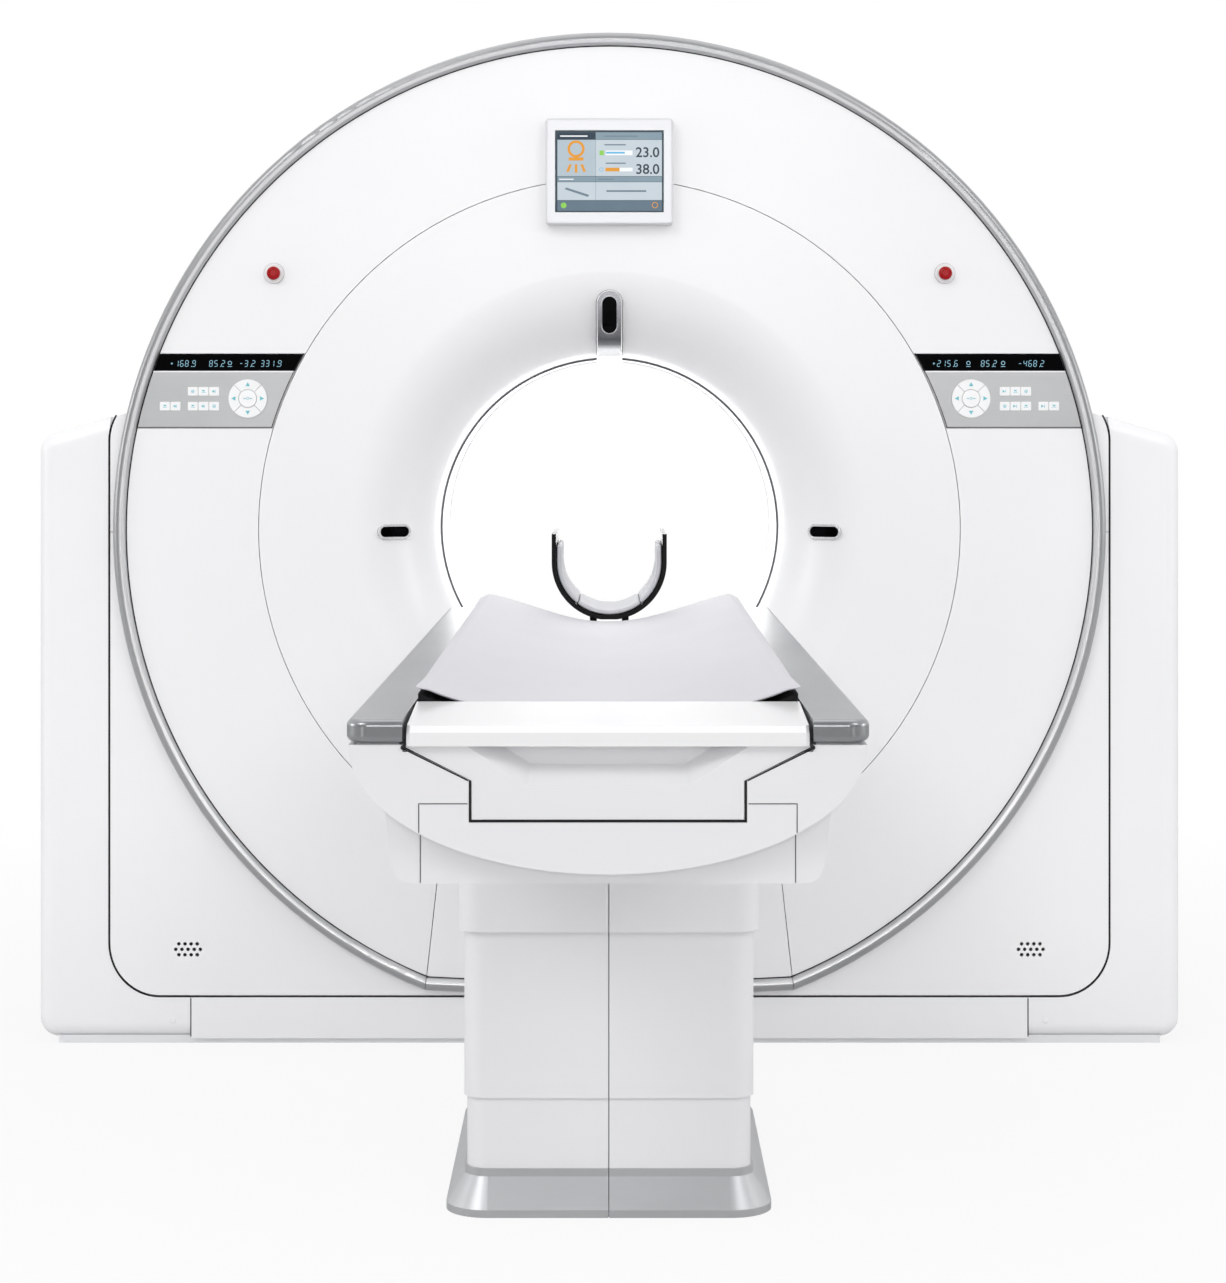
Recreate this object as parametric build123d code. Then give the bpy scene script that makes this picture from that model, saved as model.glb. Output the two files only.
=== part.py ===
from build123d import *
import math
import os

# A tilting CT scanner: a gantry on two tilt stands and a lifting patient table.
# Millimetres, +Z up, bore axis along Y, table towards -Y.
# The origin is on the floor, straight under the isocentre.

air = 0.3  # seats of pieces that only lie against each other
far = 4000.0  # longer than the machine, for cutting blocks

# Gantry
bore_r = 350.0
ring_r = 1002.0  # outside of the silver ring
ring_clear = 38.0  # floor to the full circle of the ring
iso_z = ring_r + ring_clear  # height of the bore axis and of the tilt axis
ring_w = 26.0
ring_proud = 11.0  # ring stands in front of the panel
ring_bottom_z = iso_z - 0.9386 * ring_r  # the ring is flatter between the low seams
ring_flange = 10.0  # casing reaches in behind the ring
face_y = -320.0  # front panel plane
flank_y = face_y + 10.0  # front plane of the casing behind the ring
rear_y = 480.0
cover_t = 6.0
shell_r = ring_r - 4.0
side_x = ring_r + 7.0  # half width of the tilting body
swing_r = shell_r - 6.0  # underside, round the tilt axis
swing_fillet = 0.0998 * ring_r
shoulder_rise = 179.0
shoulder_z = iso_z + shoulder_rise
shoulder_r = 96.0
shoulder_turn = 31.0
slant = 0.292  # slope of the tower tops
seam_gap = 1.5
run_gap = 4.5  # black gap between the tilting body and the towers
split_z = iso_z - 6.0
rear_cover_d = 50.0
rear_cover_y = rear_y - rear_cover_d
rear_round = 16.0
rear_wall = 14.0  # thickness of the rear cover's rim
speaker_x = 0.8503 * ring_r
speaker_z = iso_z - 0.8483 * ring_r
speaker_hole_r = 3.9
speaker_pitch_x = 12.4
speaker_pitch_z = 11.0
speaker_rows = (4, 5, 4)
speaker_sides = 8

# Front panels
funnel_seam_r = bore_r + 0.5506 * (ring_r - bore_r)
funnel_rim = 20.0  # depth of the funnel's outer rim
rim_t = 12.0  # wall of the panel round the funnel
seat_lap = 7.0  # the panel's seat reaches in behind the funnel
panel_t = 8.0
flare_r = 170.0  # round of the funnel into the bore
throat_y = face_y + flare_r
rear_flare_r = 280.0  # round of the rear funnel
throat_rear_y = rear_y - rear_flare_r
liner_r = bore_r + 4.0  # outside of the bore liner
liner_t = 3.0
liner_lap = 15.0  # how far the funnels reach over the liner
liner_groove_y = 45.0
rear_centre_r = bore_r + rear_flare_r  # where the rear funnel turns flat
rear_hub_r = rear_centre_r + 20.0  # where the rear funnel meets the flat cover
seam_top_x = 0.4767 * funnel_seam_r
seam_top_z = iso_z - math.sqrt(funnel_seam_r**2 - seam_top_x**2)
seam_low_x = 0.37126 * ring_r
seam_low_z = iso_z - math.sqrt(ring_r**2 - seam_low_x**2)

# Towers and base
tower_w = 146.0
tower_x = side_x + tower_w
tower_low_z = 10.0
tower_rear_y = 330.0
tower_round = 30.0
tower_corner = 40.0
foot_w = 162.0
foot_x = side_x - foot_w
base_t = 16.0
beam_reach = side_x - 79.0  # half length of the floor frame's cross beams
beam_h = 30.0
beam_d = 60.0
beam_mid_y = 242.5  # the beams' distance from the middle
beam_back = 27.5  # the beams' middle is behind the pivots
base_corner = 3.0
kick_w = 60.0  # depth of the kick covers
kick_h = 120.0  # before the tilting body's clearance is cut
kick_hollow_z = 66.0
anchor_r = 9.0
anchor_x = 2 * (side_x - 29.0)
anchor_y = 500.0
anchor_mid_y = 40.0
pivot_r = 45.0
pivot_fit = 0.05
pivot_room = 15.0  # round the pivot in the covers
stand_x = side_x + 21.0
stand_t = 50.0
stand_foot = 170.0  # half depth of a pylon at the floor
stand_head_r = 90.0
stand_neck_in = 10.0
stand_low_w = 150.0  # the pylon's two openings, low and high
stand_high_w = 80.0
stand_corner = 30.0
shoe_w = 80.0
shoe_t = 14.0
shoe_end = 10.0
bush_r = 62.0
bush_flange = 12.0
bush_flange_t = 6.0
gear_r = 88.0
gear_w = 52.0
gear_round = 8.0
gear_hole_l = 41.0
gear_motor_l = 220.0
gear_motor_lap = 18.0

# Rotor
bearing_room = 150.0
bearing_r = bore_r + bearing_room
bearing_out_r = bearing_r + 48.0
race_lip = 20.0
race_over = 10.0  # the race stands out of the plate on both sides
race_groove = 6.0
race_groove_w = 14.0
drum_rim = 20.0
drum_hub_h = 36.0
spoke_count = 12
spoke_t = 16.0
spoke_in = 10.0  # gap from the ribs' ends to hub and rim
drum_room = 122.0
drum_r = ring_r - drum_room
drum_front_y = 60.0
drum_back_y = 100.0
drum_t = 16.0
hub_in_r = bore_r + 50.0
hub_t = 40.0
hub_back_y = 300.0
frame_y = 150.0
frame_t = 35.0
frame_r = ring_r - 47.0
frame_rim = 16.0
frame_hole_r = 0.47 * (frame_r - bearing_out_r) / 2
frame_holes = 12
belt_hole = 10  # this one of the holes makes room for the motor's arm
tab_w = 60.0
tab_step = 30.0  # degrees between the tabs that carry the upper shell
tab_count = 5
arm_l = 280.0
arm_w = 210.0
arm_back = 23.0  # middle of the arm, back from the pulley
shaft_room_r = 20.0
bracket_lap = 30.0  # brackets and arm reach in over the frame's plate
bracket_wall = 20.0
bracket_half_h = 130.0
bracket_front_y = -60.0
boss_t = 24.0  # the pin's boss ends this far inside the cover
pin_end = 40.0
slip_front_y = 262.0
slip_t = 30.0
slip_w = 140.0
slip_r = bearing_r + slip_w
slip_groove = 5.0
slip_pitch = 36.0
slip_track = 16.0
slip_rim = 20.0  # outside of the first groove
slip_tracks = 5
brush_count = 3
brush_pitch = 40.0
brush_step = 14.0
brush_w = 20.0
brush_t = 8.0
carrier_w = 140.0
carrier_gap = 22.0  # the carrier stands this far in front of the slip ring
carrier_low = 55.0
carrier_high = 60.0
focus_room = 220.0
focus_r = bore_r + focus_room
tube_rise = 110.0
tube_r = focus_r + tube_rise  # middle of the tube's can
tube_can_r = 95.0
tube_front_y = -200.0
port_h = 13.0
port_w = 80.0
tube_band = 9.0  # the two bands on the tube's can stand out by this
tube_band_w = 16.0
tube_round = 14.0
limiter_h = 60.0
limiter_top_w = 120.0
limiter_low_w = 200.0
limiter_front_y = -45.0
slot_w = 140.0
slot_t = 8.0
detector_r = focus_r + bore_r + 80.0
detector_t = 26.0
detector_turn = 26.0
fin_h = 34.0
fin_turn = 0.5
fin_step = 7.5
fin_count = 7
fin_front_in = 5.0
detector_front_y = -55.0
module_in_r = bearing_r + 90.0
module_out_r = module_in_r + 0.7241 * (drum_r - module_in_r)
module_front_y = -190.0
hv_l = 300.0
cooler_l = 280.0
hv_turn = 20.0
cooler_turn = 160.0
cooler_fins = 8
module_round = 14.0
module_fin_h = 16.0
module_fin_t = 8.0
module_fin_in = 20.0
pulley_r = 45.0
pulley_out = 125.46
pulley_reach = (frame_r + pulley_out) * math.sqrt(0.5)  # sideways and down from the axis
pulley_lip = 7.0
belt_gap = 0.3
belt_t = 5.0
belt_in = 4.0  # the belt is narrower than the rim on both sides
pulley_flange = 3.5
motor_r = 85.0
motor_l = 190.0
motor_flange = 5.0
motor_flange_t = 14.0
motor_corner = 20.0
motor_cap_in = 11.0
motor_cap_l = 20.0
shaft_r = 14.0
shaft_l = 40.0
shaft_hole_l = 45.0

# Controls
control_w = ring_r - funnel_seam_r
plate_rise = 204.0
plate_h = 113.5
plate_low_z = iso_z + plate_rise
plate_top_z = plate_low_z + plate_h
glass_h = 34.0
glass_low_z = plate_top_z + 2.0
glass_top_z = glass_low_z + glass_h
plate_t = 4.0
plate_proud = 0.2
dial_rise = 263.6
dial_z = iso_z + dial_rise
dial_x = math.sqrt(funnel_seam_r**2 - dial_rise**2) + 0.2438 * control_w
dial_r = 0.1321 * control_w
dial_core_r = 0.465 * dial_r
dial_clear = 0.6
key_gap = 0.9
key_proud = 3.5
key_travel = 1.5
key_pitch = 0.07338 * control_w
key_w = key_pitch - 1.5
key_h = key_pitch - 4.0
spot_proud = 1.4  # membrane keys in front of the panel plane
estop_reach = (funnel_seam_r + ring_r) / 2 - 4.3
estop_turn = math.radians(37.32)
estop_x = estop_reach * math.cos(estop_turn)
estop_z = iso_z + estop_reach * math.sin(estop_turn)
estop_r = 13.5
estop_stem_r = 6.0
estop_travel = 4.0
estop_edge = 4.0  # straight edge of the head
estop_h = 9.4
estop_flat = 0.6  # share of the head that is flat in front
collar_r = 20.0
collar_t = 3.0

# Monitor
monitor_w = 257.0
monitor_h = 214.0
monitor_t = 25.0
monitor_corner = 8.0
monitor_round = 4.0
monitor_z = iso_z + funnel_seam_r + 11.0
screen_w = 218.0
screen_h = 164.0
screen_t = 2.5
screen_deep = 1.0

# Alignment optics
sensor_w = 52.0
sensor_h = 132.0
sensor_top_r = bore_r + sensor_h
sensor_t = 11.7
sensor_lip = 25.0
eye_w = 29.0
eye_h = 72.0
eye_rise = 83.0
eye_r = bore_r + eye_rise
eye_t = 5.0
laser_rise = 86.0
laser_r = bore_r + laser_rise
laser_drop = 6.0
laser_w = 74.0
laser_h = 31.0
laser_rim = 5.0
laser_deep = 12.0
laser_back = 4.0  # the rim reaches in behind the glass
laser_step = 3.0  # behind the funnel the rim is narrower by this
laser_seat = 0.5
laser_proud = 3.5
laser_glass_proud = 1.5
laser_hole_in = 2.0  # the funnel's hole is smaller than the rim by this

# Table
front_y = -2777.0
back_y = -602.0
cradle_x = 235.0
rail_in_x = cradle_x + 6.0
rail_w = 67.0
rail_out_x = rail_in_x + rail_w
hull_x = rail_out_x - 3.0
table_drop = 170.0  # bore axis to table top
hull_z = iso_z - table_drop
hull_drop = 152.0
hull_lid = 8.0
hull_end = 10.0  # wall at the gantry end
well_top_in = 80.0  # the well for the column ends this far under the table top
wall = 6.0
rail_h = 27.0
rail_foot = 3.0
rail_corner = 25.0
rail_round = 8.0
rail_edge = 9.0  # the rounded edges lie within this strip
rail_foot_in = 4.0  # the rail's foot is narrower inside, outside and at the ends
rail_foot_out = 12.0
keel_in = 71.6
keel_h = 91.2
keel_side_h = 50.2
keel_x = cradle_x - keel_in
keel_z = hull_z - keel_h
keel_mid_z = keel_z + keel_side_h
keel_gap = 3.4
keel_top_in = 1.5  # the channel's sides end under the table top
belly_in = 38.0
belly_lean = 14.0
belly_x_top = hull_x - belly_in
belly_x_low = belly_x_top - belly_lean
belly_set = 60.0
belly_h = 107.0
belly_top_z = hull_z - belly_set
belly_low_z = belly_top_z - belly_h
belly_round = 22.0
belly_front_in = 35.0
belly_front_y = front_y + belly_front_in
belly_back_y = back_y - belly_in
panel_in = 83.0
panel_drop = 69.0
panel_x = hull_x - panel_in
panel_top_z = hull_z - panel_drop
panel_groove = 0.8  # half width of the seam round the removable panel
groove_deep = 1.2
column_set = 638.0  # column behind the gantry end of the table
column_mid_y = back_y - column_set
sleeve_l = 700.0
sleeve_in = 14.5
upper_step = 16.0
middle_step = 9.0
upper_w = 2 * (belly_x_low - sleeve_in)
middle_w = upper_w - upper_step
lower_w = middle_w - middle_step
lower_t = 4.0
lower_low_z = 2.0
sleeve_round = 35.0
sleeve_fit = 0.4
well_gap = 3.0  # round the middle sleeve where it goes up into the table
upper_low_z = 0.51264 * hull_z
middle_low_z = 0.2092 * hull_z
middle_top_z = 0.58851 * hull_z
lower_top_z = 0.45977 * hull_z
skirt_h = 70.0
skirt_grow = 33.0
skirt_lip = 12.0
skirt_top = 4.0  # width of the skirt's flat top
skirt_gap = 1.2  # seam between the skirt's halves
foot_t = 20.0
foot_edge = 36.0
foot_anchor_x = lower_w / 2 - foot_edge
foot_anchor_y = sleeve_l / 2 - 40.0
foot_anchor_r = 7.0
column_w = 200.0
column_wall = 8.0
column_fit = 0.5
column_corner = 8.0
column_lap = 35.0  # the inner stage reaches down into the middle one
middle_lap = 42.0
middle_top_in = 7.0
beam_drop = 96.0
beam_t = 26.0
beam_top_z = hull_z - beam_drop
beam_low_z = beam_top_z - beam_t
beam_x = 150.0
beam_front_in = 40.0
beam_back_in = 12.0
rib_end_in = 60.0
rib_back_in = 150.0
rail_guide_x = 110.0
rail_guide_w = 20.0
runner_w = 8.0
rib_t = 12.0

# Cradle
cradle_rise = 44.0
cradle_hollow = 49.0
cradle_t = 33.0
cradle_edge_t = 9.0
cradle_edge_z = hull_z + cradle_rise
cradle_mid_z = cradle_edge_z - cradle_hollow
cradle_low_z = cradle_mid_z - cradle_t
cradle_low_edge_z = cradle_edge_z - cradle_edge_t
cradle_set = 198.0  # cradle's end short of the table's gantry end
cradle_back_y = back_y - cradle_set
cap_l = 190.0
cradle_front_y = front_y + cap_l
cap_x = cradle_x + 1.5
cap_low_z = hull_z - 1.0
cap_face_h = 22.0
cap_back_h = 35.0
cap_face_z = cap_low_z + cap_face_h
cap_back_z = cap_low_z + cap_back_h
cap_chamfer = 4.0
cap_slope_l = 12.0  # the cap's face slopes back over this length
cap_slope_h = 6.0
mattress_set = 2.0
pad_t = 22.0
pad_edge_t = 16.0
pad_x = cradle_x - 2.0
pad_set = 40.0
pad_back_y = cradle_back_y - pad_set
carriage_l = 300.0
carriage_set = 9.0  # face of the carriage behind the table's front
grip_top_x = 170.0
grip_low_x = 95.0
grip_h = 48.0
grip_low_z = hull_z - grip_h
grip_depth = 30.0
grip_taper = 14.0
grip_floor_rise = 8.0
carriage_wall = 14.0
carriage_face_t = 45.0
carriage_floor = 18.0
carriage_top_in = 32.0  # top of the hollow under the cradle
runner_front_in = 60.0
runner_back_in = 20.0
roller_r = 20.0
roller_set = 88.0
roller_y = back_y - roller_set
axle_r = 6.0
ear_x = 75.0
ear_t = 16.0
ear_over = 10.0  # the ears end above the axle
axle_over = 8.5
roller_gap = 11.0
roller_l = 28.0
roller_in = 1.5  # the rollers' top inside the cradle's hollow underside
tongue_x = 42.0
tongue_low_z = cradle_low_z + 12.0
tongue_t = 12.0
tongue_l = 70.0
tongue_fit = 0.4
tongue_end_in = 20.0  # the tongue ends before the holder's back end
rib_set = 6.0  # gap from the cradle's end to the tongue's ribs
tongue_rib_t = 12.0
holder_r = 106.0
holder_rise = 126.0
holder_arm = 52.0
holder_mid_z = hull_z + holder_rise
holder_top_z = holder_mid_z + holder_arm
holder_t = 8.0
holder_lap = 32.0
holder_l = 292.0
holder_front_y = cradle_back_y - holder_lap
holder_back_y = holder_front_y + holder_l
holder_pad_t = 10.0
holder_pad_low = 20.0  # the pads end under the holder's rim
holder_pad_in = 4.0
holder_seam_turn = 38.0  # degrees from straight down to the pads' seams
holder_seam_w = 1.6

tilt_axis = Axis((0, 0, iso_z), (1, 0, 0))
bore_axis = Axis((0, 0, iso_z), (0, 1, 0))


def along_y(sketch, y0, y1):
    """Extrudes a sketch drawn in x and z from y0 to y1."""
    plane = Plane(origin=(0, y0, 0), x_dir=(1, 0, 0), z_dir=(0, -1, 0))
    return extrude(plane * sketch, amount=y0 - y1)


def along_x(sketch, x0, x1):
    """Extrudes a sketch drawn in y and z from x0 to x1."""
    plane = Plane(origin=(x0, 0, 0), x_dir=(0, 1, 0), z_dir=(1, 0, 0))
    return extrude(plane * sketch, amount=x1 - x0)


def along_z(sketch, z0, z1):
    """Extrudes a sketch drawn in x and y from z0 to z1."""
    return extrude(Plane.XY.offset(z0) * sketch, amount=z1 - z0)


def block(x0, x1, y0, y1, z0, z1):
    """A box between two corners."""
    return Pos((x0 + x1) / 2, (y0 + y1) / 2, (z0 + z1) / 2) * Box(x1 - x0, y1 - y0, z1 - z0)


def disc(radius, x=0.0, z=iso_z):
    """A round sketch in x and z."""
    return Pos(x, z) * Circle(radius)


def ring_y(r_in, r_out, y0, y1):
    """A plain ring round the bore axis."""
    return along_y(disc(r_out) - disc(r_in), y0, y1)


def turned(points):
    """Turns a closed outline of (radius, y) points round the bore axis."""
    face = Plane.XY.offset(iso_z) * make_face(Polyline(*points, close=True))
    return revolve(face, bore_axis)


def rod_x(radius, x0, x1, y=0.0, z=iso_z):
    """A round bar along X."""
    return along_x(Pos(y, z) * Circle(radius), x0, x1)


def mirrored(part):
    """The same piece on the other side of the bore."""
    return mirror(part, Plane.YZ)


def pair(part):
    """A piece and its mirror image as one group of separate solids."""
    return Compound([*part.solids(), *mirrored(part).solids()])


def front_outline(inset):
    """The ring's outline moved in: a circle that is flattened between the two low seams."""
    radius = ring_r - inset
    half = seam_low_x * radius / ring_r
    low = iso_z - math.sqrt(radius**2 - half**2)
    round_part = ThreePointArc((-half, low), (0, iso_z + radius), (half, low))
    flat_part = ThreePointArc((half, low), (0, ring_bottom_z + inset), (-half, low))
    return make_face([round_part, flat_part])


def seam_wedge(gap):
    """The wedge between the two low seams, narrower by the gap."""

    def edge(z):
        slope = (seam_low_x - seam_top_x) / (seam_top_z - seam_low_z)
        return seam_top_x + (seam_top_z - z) * slope - gap

    top, low = iso_z - bore_r, 0.0
    points = [(-edge(low), low), (edge(low), low), (edge(top), top), (-edge(top), top)]
    return along_y(make_face(Polyline(*points, close=True)), face_y - far, flank_y + far)


def body_outline(inset):
    """Front outline of the tilting body: a disc and two square flanks with rounded shoulders."""
    x = side_x - inset
    turn = math.radians(shoulder_turn)
    r = shoulder_r - inset
    mid = (x - r * (1 - math.cos(turn / 2)), shoulder_z + r * math.sin(turn / 2))
    end = (x - r * (1 - math.cos(turn)), shoulder_z + r * math.sin(turn))
    inner_x = ring_r * 0.9
    inner = (inner_x, end[1] + slant * (end[0] - inner_x))
    right = [
        Line((0, 0), (x, 0)),
        Line((x, 0), (x, shoulder_z)),
        ThreePointArc((x, shoulder_z), mid, end),
        Line(end, inner),
        Line(inner, (0, inner[1])),
        Line((0, inner[1]), (0, 0)),
    ]
    half = make_face(right)
    return disc(shell_r - inset) + half + mirror(half, Plane.YZ)


def swing_drum(grow):
    """A drum round the tilt axis with rounded ends: the underside of the tilting body."""
    drum = rod_x(swing_r + grow, -side_x - grow, side_x + grow)
    return fillet(drum.edges().filter_by(GeomType.CIRCLE), swing_fillet + grow)


def body_block(inset, y0, y1):
    """The tilting body as one block, its underside round about the tilt axis."""
    below = swing_drum(-inset) & block(-far, far, -far, far, -far, iso_z)
    above = block(-far, far, -far, far, iso_z, far)
    return along_y(body_outline(inset), y0, y1) & (below + above)


def gantry_shell():
    """The casing round the tilting body: rim wall and front flange."""
    shell = body_block(0, flank_y, rear_cover_y)
    shell -= body_block(cover_t, flank_y + cover_t, rear_cover_y + 1)
    shell -= along_y(front_outline(ring_w + ring_flange), flank_y - 1, flank_y + cover_t + 1)
    shell -= rod_x(pivot_r + pivot_room, -side_x - 1, side_x + 1)
    return shell


def upper_shell(shell):
    """Casing above the flank seam."""
    half_gap = seam_gap / 2
    return shell & block(-far, far, -far, far, split_z + half_gap, far)


def lower_shell(shell):
    """Casing below the flank seam, with the two loudspeaker grilles."""
    shell = shell & block(-far, far, -far, far, -far, split_z - seam_gap / 2)
    holes = Sketch()
    for row, count in enumerate(speaker_rows):
        for k in range(count):
            x = speaker_x + (k - (count - 1) / 2) * speaker_pitch_x
            z = speaker_z - (row - 1) * speaker_pitch_z
            holes += Pos(x, z) * RegularPolygon(speaker_hole_r, speaker_sides)
            holes += Pos(-x, z) * RegularPolygon(speaker_hole_r, speaker_sides)
    return shell - along_y(holes, flank_y - 1, flank_y + cover_t + 1)


def ring_section(outer):
    """Half-round section of the silver ring in (radius, y)."""
    inner = outer - ring_w
    crown = face_y - ring_proud
    shoulder = face_y - 1
    return make_face([
        Line((inner, flank_y), (inner, shoulder)),
        ThreePointArc((inner, shoulder), (outer - ring_w / 2, crown), (outer, shoulder)),
        Line((outer, shoulder), (outer, flank_y)),
        Line((outer, flank_y), (inner, flank_y)),
    ])


def trim_ring():
    """Silver ring: the round piece, and the flatter piece between the low seams."""
    main = revolve(Plane.XY.offset(iso_z) * ring_section(ring_r), bore_axis)
    main -= seam_wedge(-seam_gap / 2)
    half = seam_low_x
    rise = iso_z - math.sqrt(ring_r**2 - half**2) - ring_bottom_z
    big_r = (half**2 + rise**2) / (2 * rise)
    centre_z = ring_bottom_z + big_r
    section = Plane.XY.offset(centre_z) * ring_section(big_r)
    axis = Axis((0, 0, centre_z), (0, 1, 0))
    sweep = math.degrees(math.asin(half / big_r)) + 1
    low = revolve(section.rotate(axis, 90 - sweep), axis, 2 * sweep)
    return main, low & seam_wedge(seam_gap / 2)


def panel_blank():
    """Front panel inside the ring, with its back hollowed between two rims."""
    panel = along_y(front_outline(ring_w + seam_gap) - disc(funnel_seam_r), face_y, flank_y)
    hollow = front_outline(ring_w + rim_t + seam_gap) - disc(funnel_seam_r + rim_t)
    panel -= along_y(hollow, face_y + panel_t, flank_y + 1)
    seat_y = face_y + funnel_rim + air
    panel += ring_y(funnel_seam_r, funnel_seam_r + rim_t, flank_y, seat_y + cover_t)
    return panel + ring_y(funnel_seam_r - seat_lap, funnel_seam_r + rim_t, seat_y, seat_y + cover_t)


def control_band(low, top, clear):
    """Outline of a control panel from the ring to the funnel seam, on the right."""
    band = disc(ring_r - ring_w - seam_gap - clear) - disc(funnel_seam_r + clear)
    return band & (Pos(ring_r / 2, (low + top) / 2) * Rectangle(ring_r, top - low))


def front_panel(blank):
    """Big front panel: control recesses, stop button holes and their collars."""
    panel = blank - seam_wedge(-seam_gap / 2)
    recess = control_band(plate_low_z - 1, glass_top_z + 1, -2)
    recess += mirror(recess, Plane.YZ)
    panel -= along_y(recess, face_y - 1, face_y + plate_t)
    for x in (-estop_x, estop_x):
        panel += along_y(disc(collar_r, x, estop_z), face_y - collar_t, face_y)
        panel -= along_y(disc(estop_stem_r + air, x, estop_z), face_y - collar_t - 1, flank_y)
    return panel


def front_funnel():
    """Funnel cover: a flat ring that rolls into the bore, with holes for the laser windows."""
    seam = funnel_seam_r - seam_gap
    centre_r = bore_r + flare_r

    def profile(inset, rim):
        arc_r = flare_r - inset
        deg = math.radians(45)
        mid = (centre_r - arc_r * math.cos(deg), throat_y - arc_r * math.sin(deg))
        return [
            ThreePointArc((centre_r - arc_r, throat_y), mid, (centre_r, face_y + inset)),
            Line((centre_r, face_y + inset), (rim, face_y + inset)),
        ]

    outer = profile(0, seam)
    inner = profile(cover_t, seam - cover_t)
    face = make_face([
        *outer,
        Line((seam, face_y), (seam, face_y + funnel_rim)),
        Line((seam, face_y + funnel_rim), (seam - cover_t, face_y + funnel_rim)),
        Line((seam - cover_t, face_y + funnel_rim), (seam - cover_t, face_y + cover_t)),
        *inner,
        Line((bore_r + cover_t, throat_y), (bore_r, throat_y)),
    ])
    cover = revolve(Plane.XY.offset(iso_z) * face, bore_axis)
    cover += ring_y(liner_r + air, liner_r + air + cover_t, throat_y - 2, throat_y + liner_lap)
    hole = laser_prism(laser_w - laser_hole_in, laser_h - laser_hole_in, -flare_r / 3, flare_r / 3)
    return cover - hole - mirrored(hole)


def laser_plane():
    """The sloping plane of the right laser window on the funnel."""
    centre_r = bore_r + flare_r
    lean = math.acos((centre_r - laser_r) / flare_r)
    origin = (laser_r, throat_y - flare_r * math.sin(lean), iso_z - laser_drop)
    return Plane(origin=origin, x_dir=(math.sin(lean), -math.cos(lean), 0),
                 z_dir=(-math.cos(lean), -math.sin(lean), 0))


def laser_prism(width, height, out0, out1):
    """A stadium prism square to the funnel at the right laser window."""
    stadium = SlotOverall(width, height)
    return extrude(laser_plane().offset(out0) * stadium, amount=out1 - out0)


def laser_bezels(funnel):
    """Silver rims of the two laser windows, cleared for the funnel."""
    rim = laser_prism(laser_w, laser_h, laser_seat, laser_proud)
    rim += laser_prism(laser_w - laser_step, laser_h - laser_step, -laser_deep - laser_back, laser_seat)
    rim -= laser_prism(laser_w - 2 * laser_rim, laser_h - 2 * laser_rim, -laser_deep, laser_proud + 1)
    return pair(rim - funnel)


def laser_glasses():
    """Black windows inside the rims."""
    inner = 2 * laser_rim + 2 * air
    return pair(laser_prism(laser_w - inner, laser_h - inner, -laser_deep + air, laser_glass_proud))


def sensor_section(r_in, r_out, lip):
    """Section in y and z of a strip that follows the funnel over the bore and ends in a lip."""
    top_z = iso_z + bore_r + flare_r
    turn = math.acos((bore_r + flare_r - sensor_top_r) / r_out)

    def at(radius, angle):
        return (throat_y - radius * math.sin(angle), top_z - radius * math.cos(angle))

    return make_face([
        ThreePointArc(at(r_out, turn), at(r_out, turn / 2), at(r_out, 0)),
        Line(at(r_out, 0), (throat_y + lip, top_z - r_out)),
        Line((throat_y + lip, top_z - r_out), (throat_y + lip, top_z - r_in)),
        Line((throat_y + lip, top_z - r_in), at(r_in, 0)),
        ThreePointArc(at(r_in, 0), at(r_in, turn / 2), at(r_in, turn)),
        Line(at(r_in, turn), at(r_out, turn)),
    ])


def front_slot(width, low, top):
    """A slot outline in x and z with a round top."""
    body = Pos(0, (low + top - width / 2) / 2) * Rectangle(width, top - width / 2 - low)
    return body + disc(width / 2, 0, top - width / 2)


def sensor_eye(clear, r_in, r_out):
    """The black eye, curved as the housing is."""
    low = iso_z + eye_r - eye_h / 2 - clear
    high = iso_z + eye_r + eye_h / 2 + clear
    oval = Pos(0, (low + high) / 2) * Rot(0, 0, 90) * SlotOverall(high - low, eye_w + 2 * clear)
    strip = along_x(sensor_section(r_in, r_out, sensor_lip), -sensor_w, sensor_w)
    return strip & along_y(oval, face_y - far, throat_y)


def sensor_housing(funnel):
    """Housing over the bore, from the flat of the funnel to a lip over the bore's edge."""
    section = sensor_section(flare_r + air, flare_r + sensor_t, sensor_lip)
    housing = along_x(section, -sensor_w / 2, sensor_w / 2)
    outline = front_slot(sensor_w, iso_z, iso_z + sensor_top_r)
    housing = housing & along_y(outline, face_y - far, throat_y + far)
    housing -= sensor_eye(air, flare_r + sensor_t - eye_t, flare_r + sensor_t + eye_t)
    return housing - funnel


def sensor_window():
    """Black eye of the sensor housing."""
    return sensor_eye(0, flare_r + sensor_t - eye_t + air, flare_r + sensor_t + 2 * air)


def scan_window():
    """Bore liner that the beam passes through, with two joint grooves."""
    r0, r1 = liner_r - liner_t, liner_r
    y0, y1, g = throat_y + seam_gap, throat_rear_y - seam_gap, liner_t / 2
    return turned([
        (r0, y0), (r1, y0), (r1, y1), (r0, y1),
        (r0, liner_groove_y), (r0 + g, liner_groove_y - g), (r0, liner_groove_y - 2 * g),
        (r0, 2 * g - liner_groove_y), (r0 + g, g - liner_groove_y), (r0, -liner_groove_y),
    ])


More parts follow.
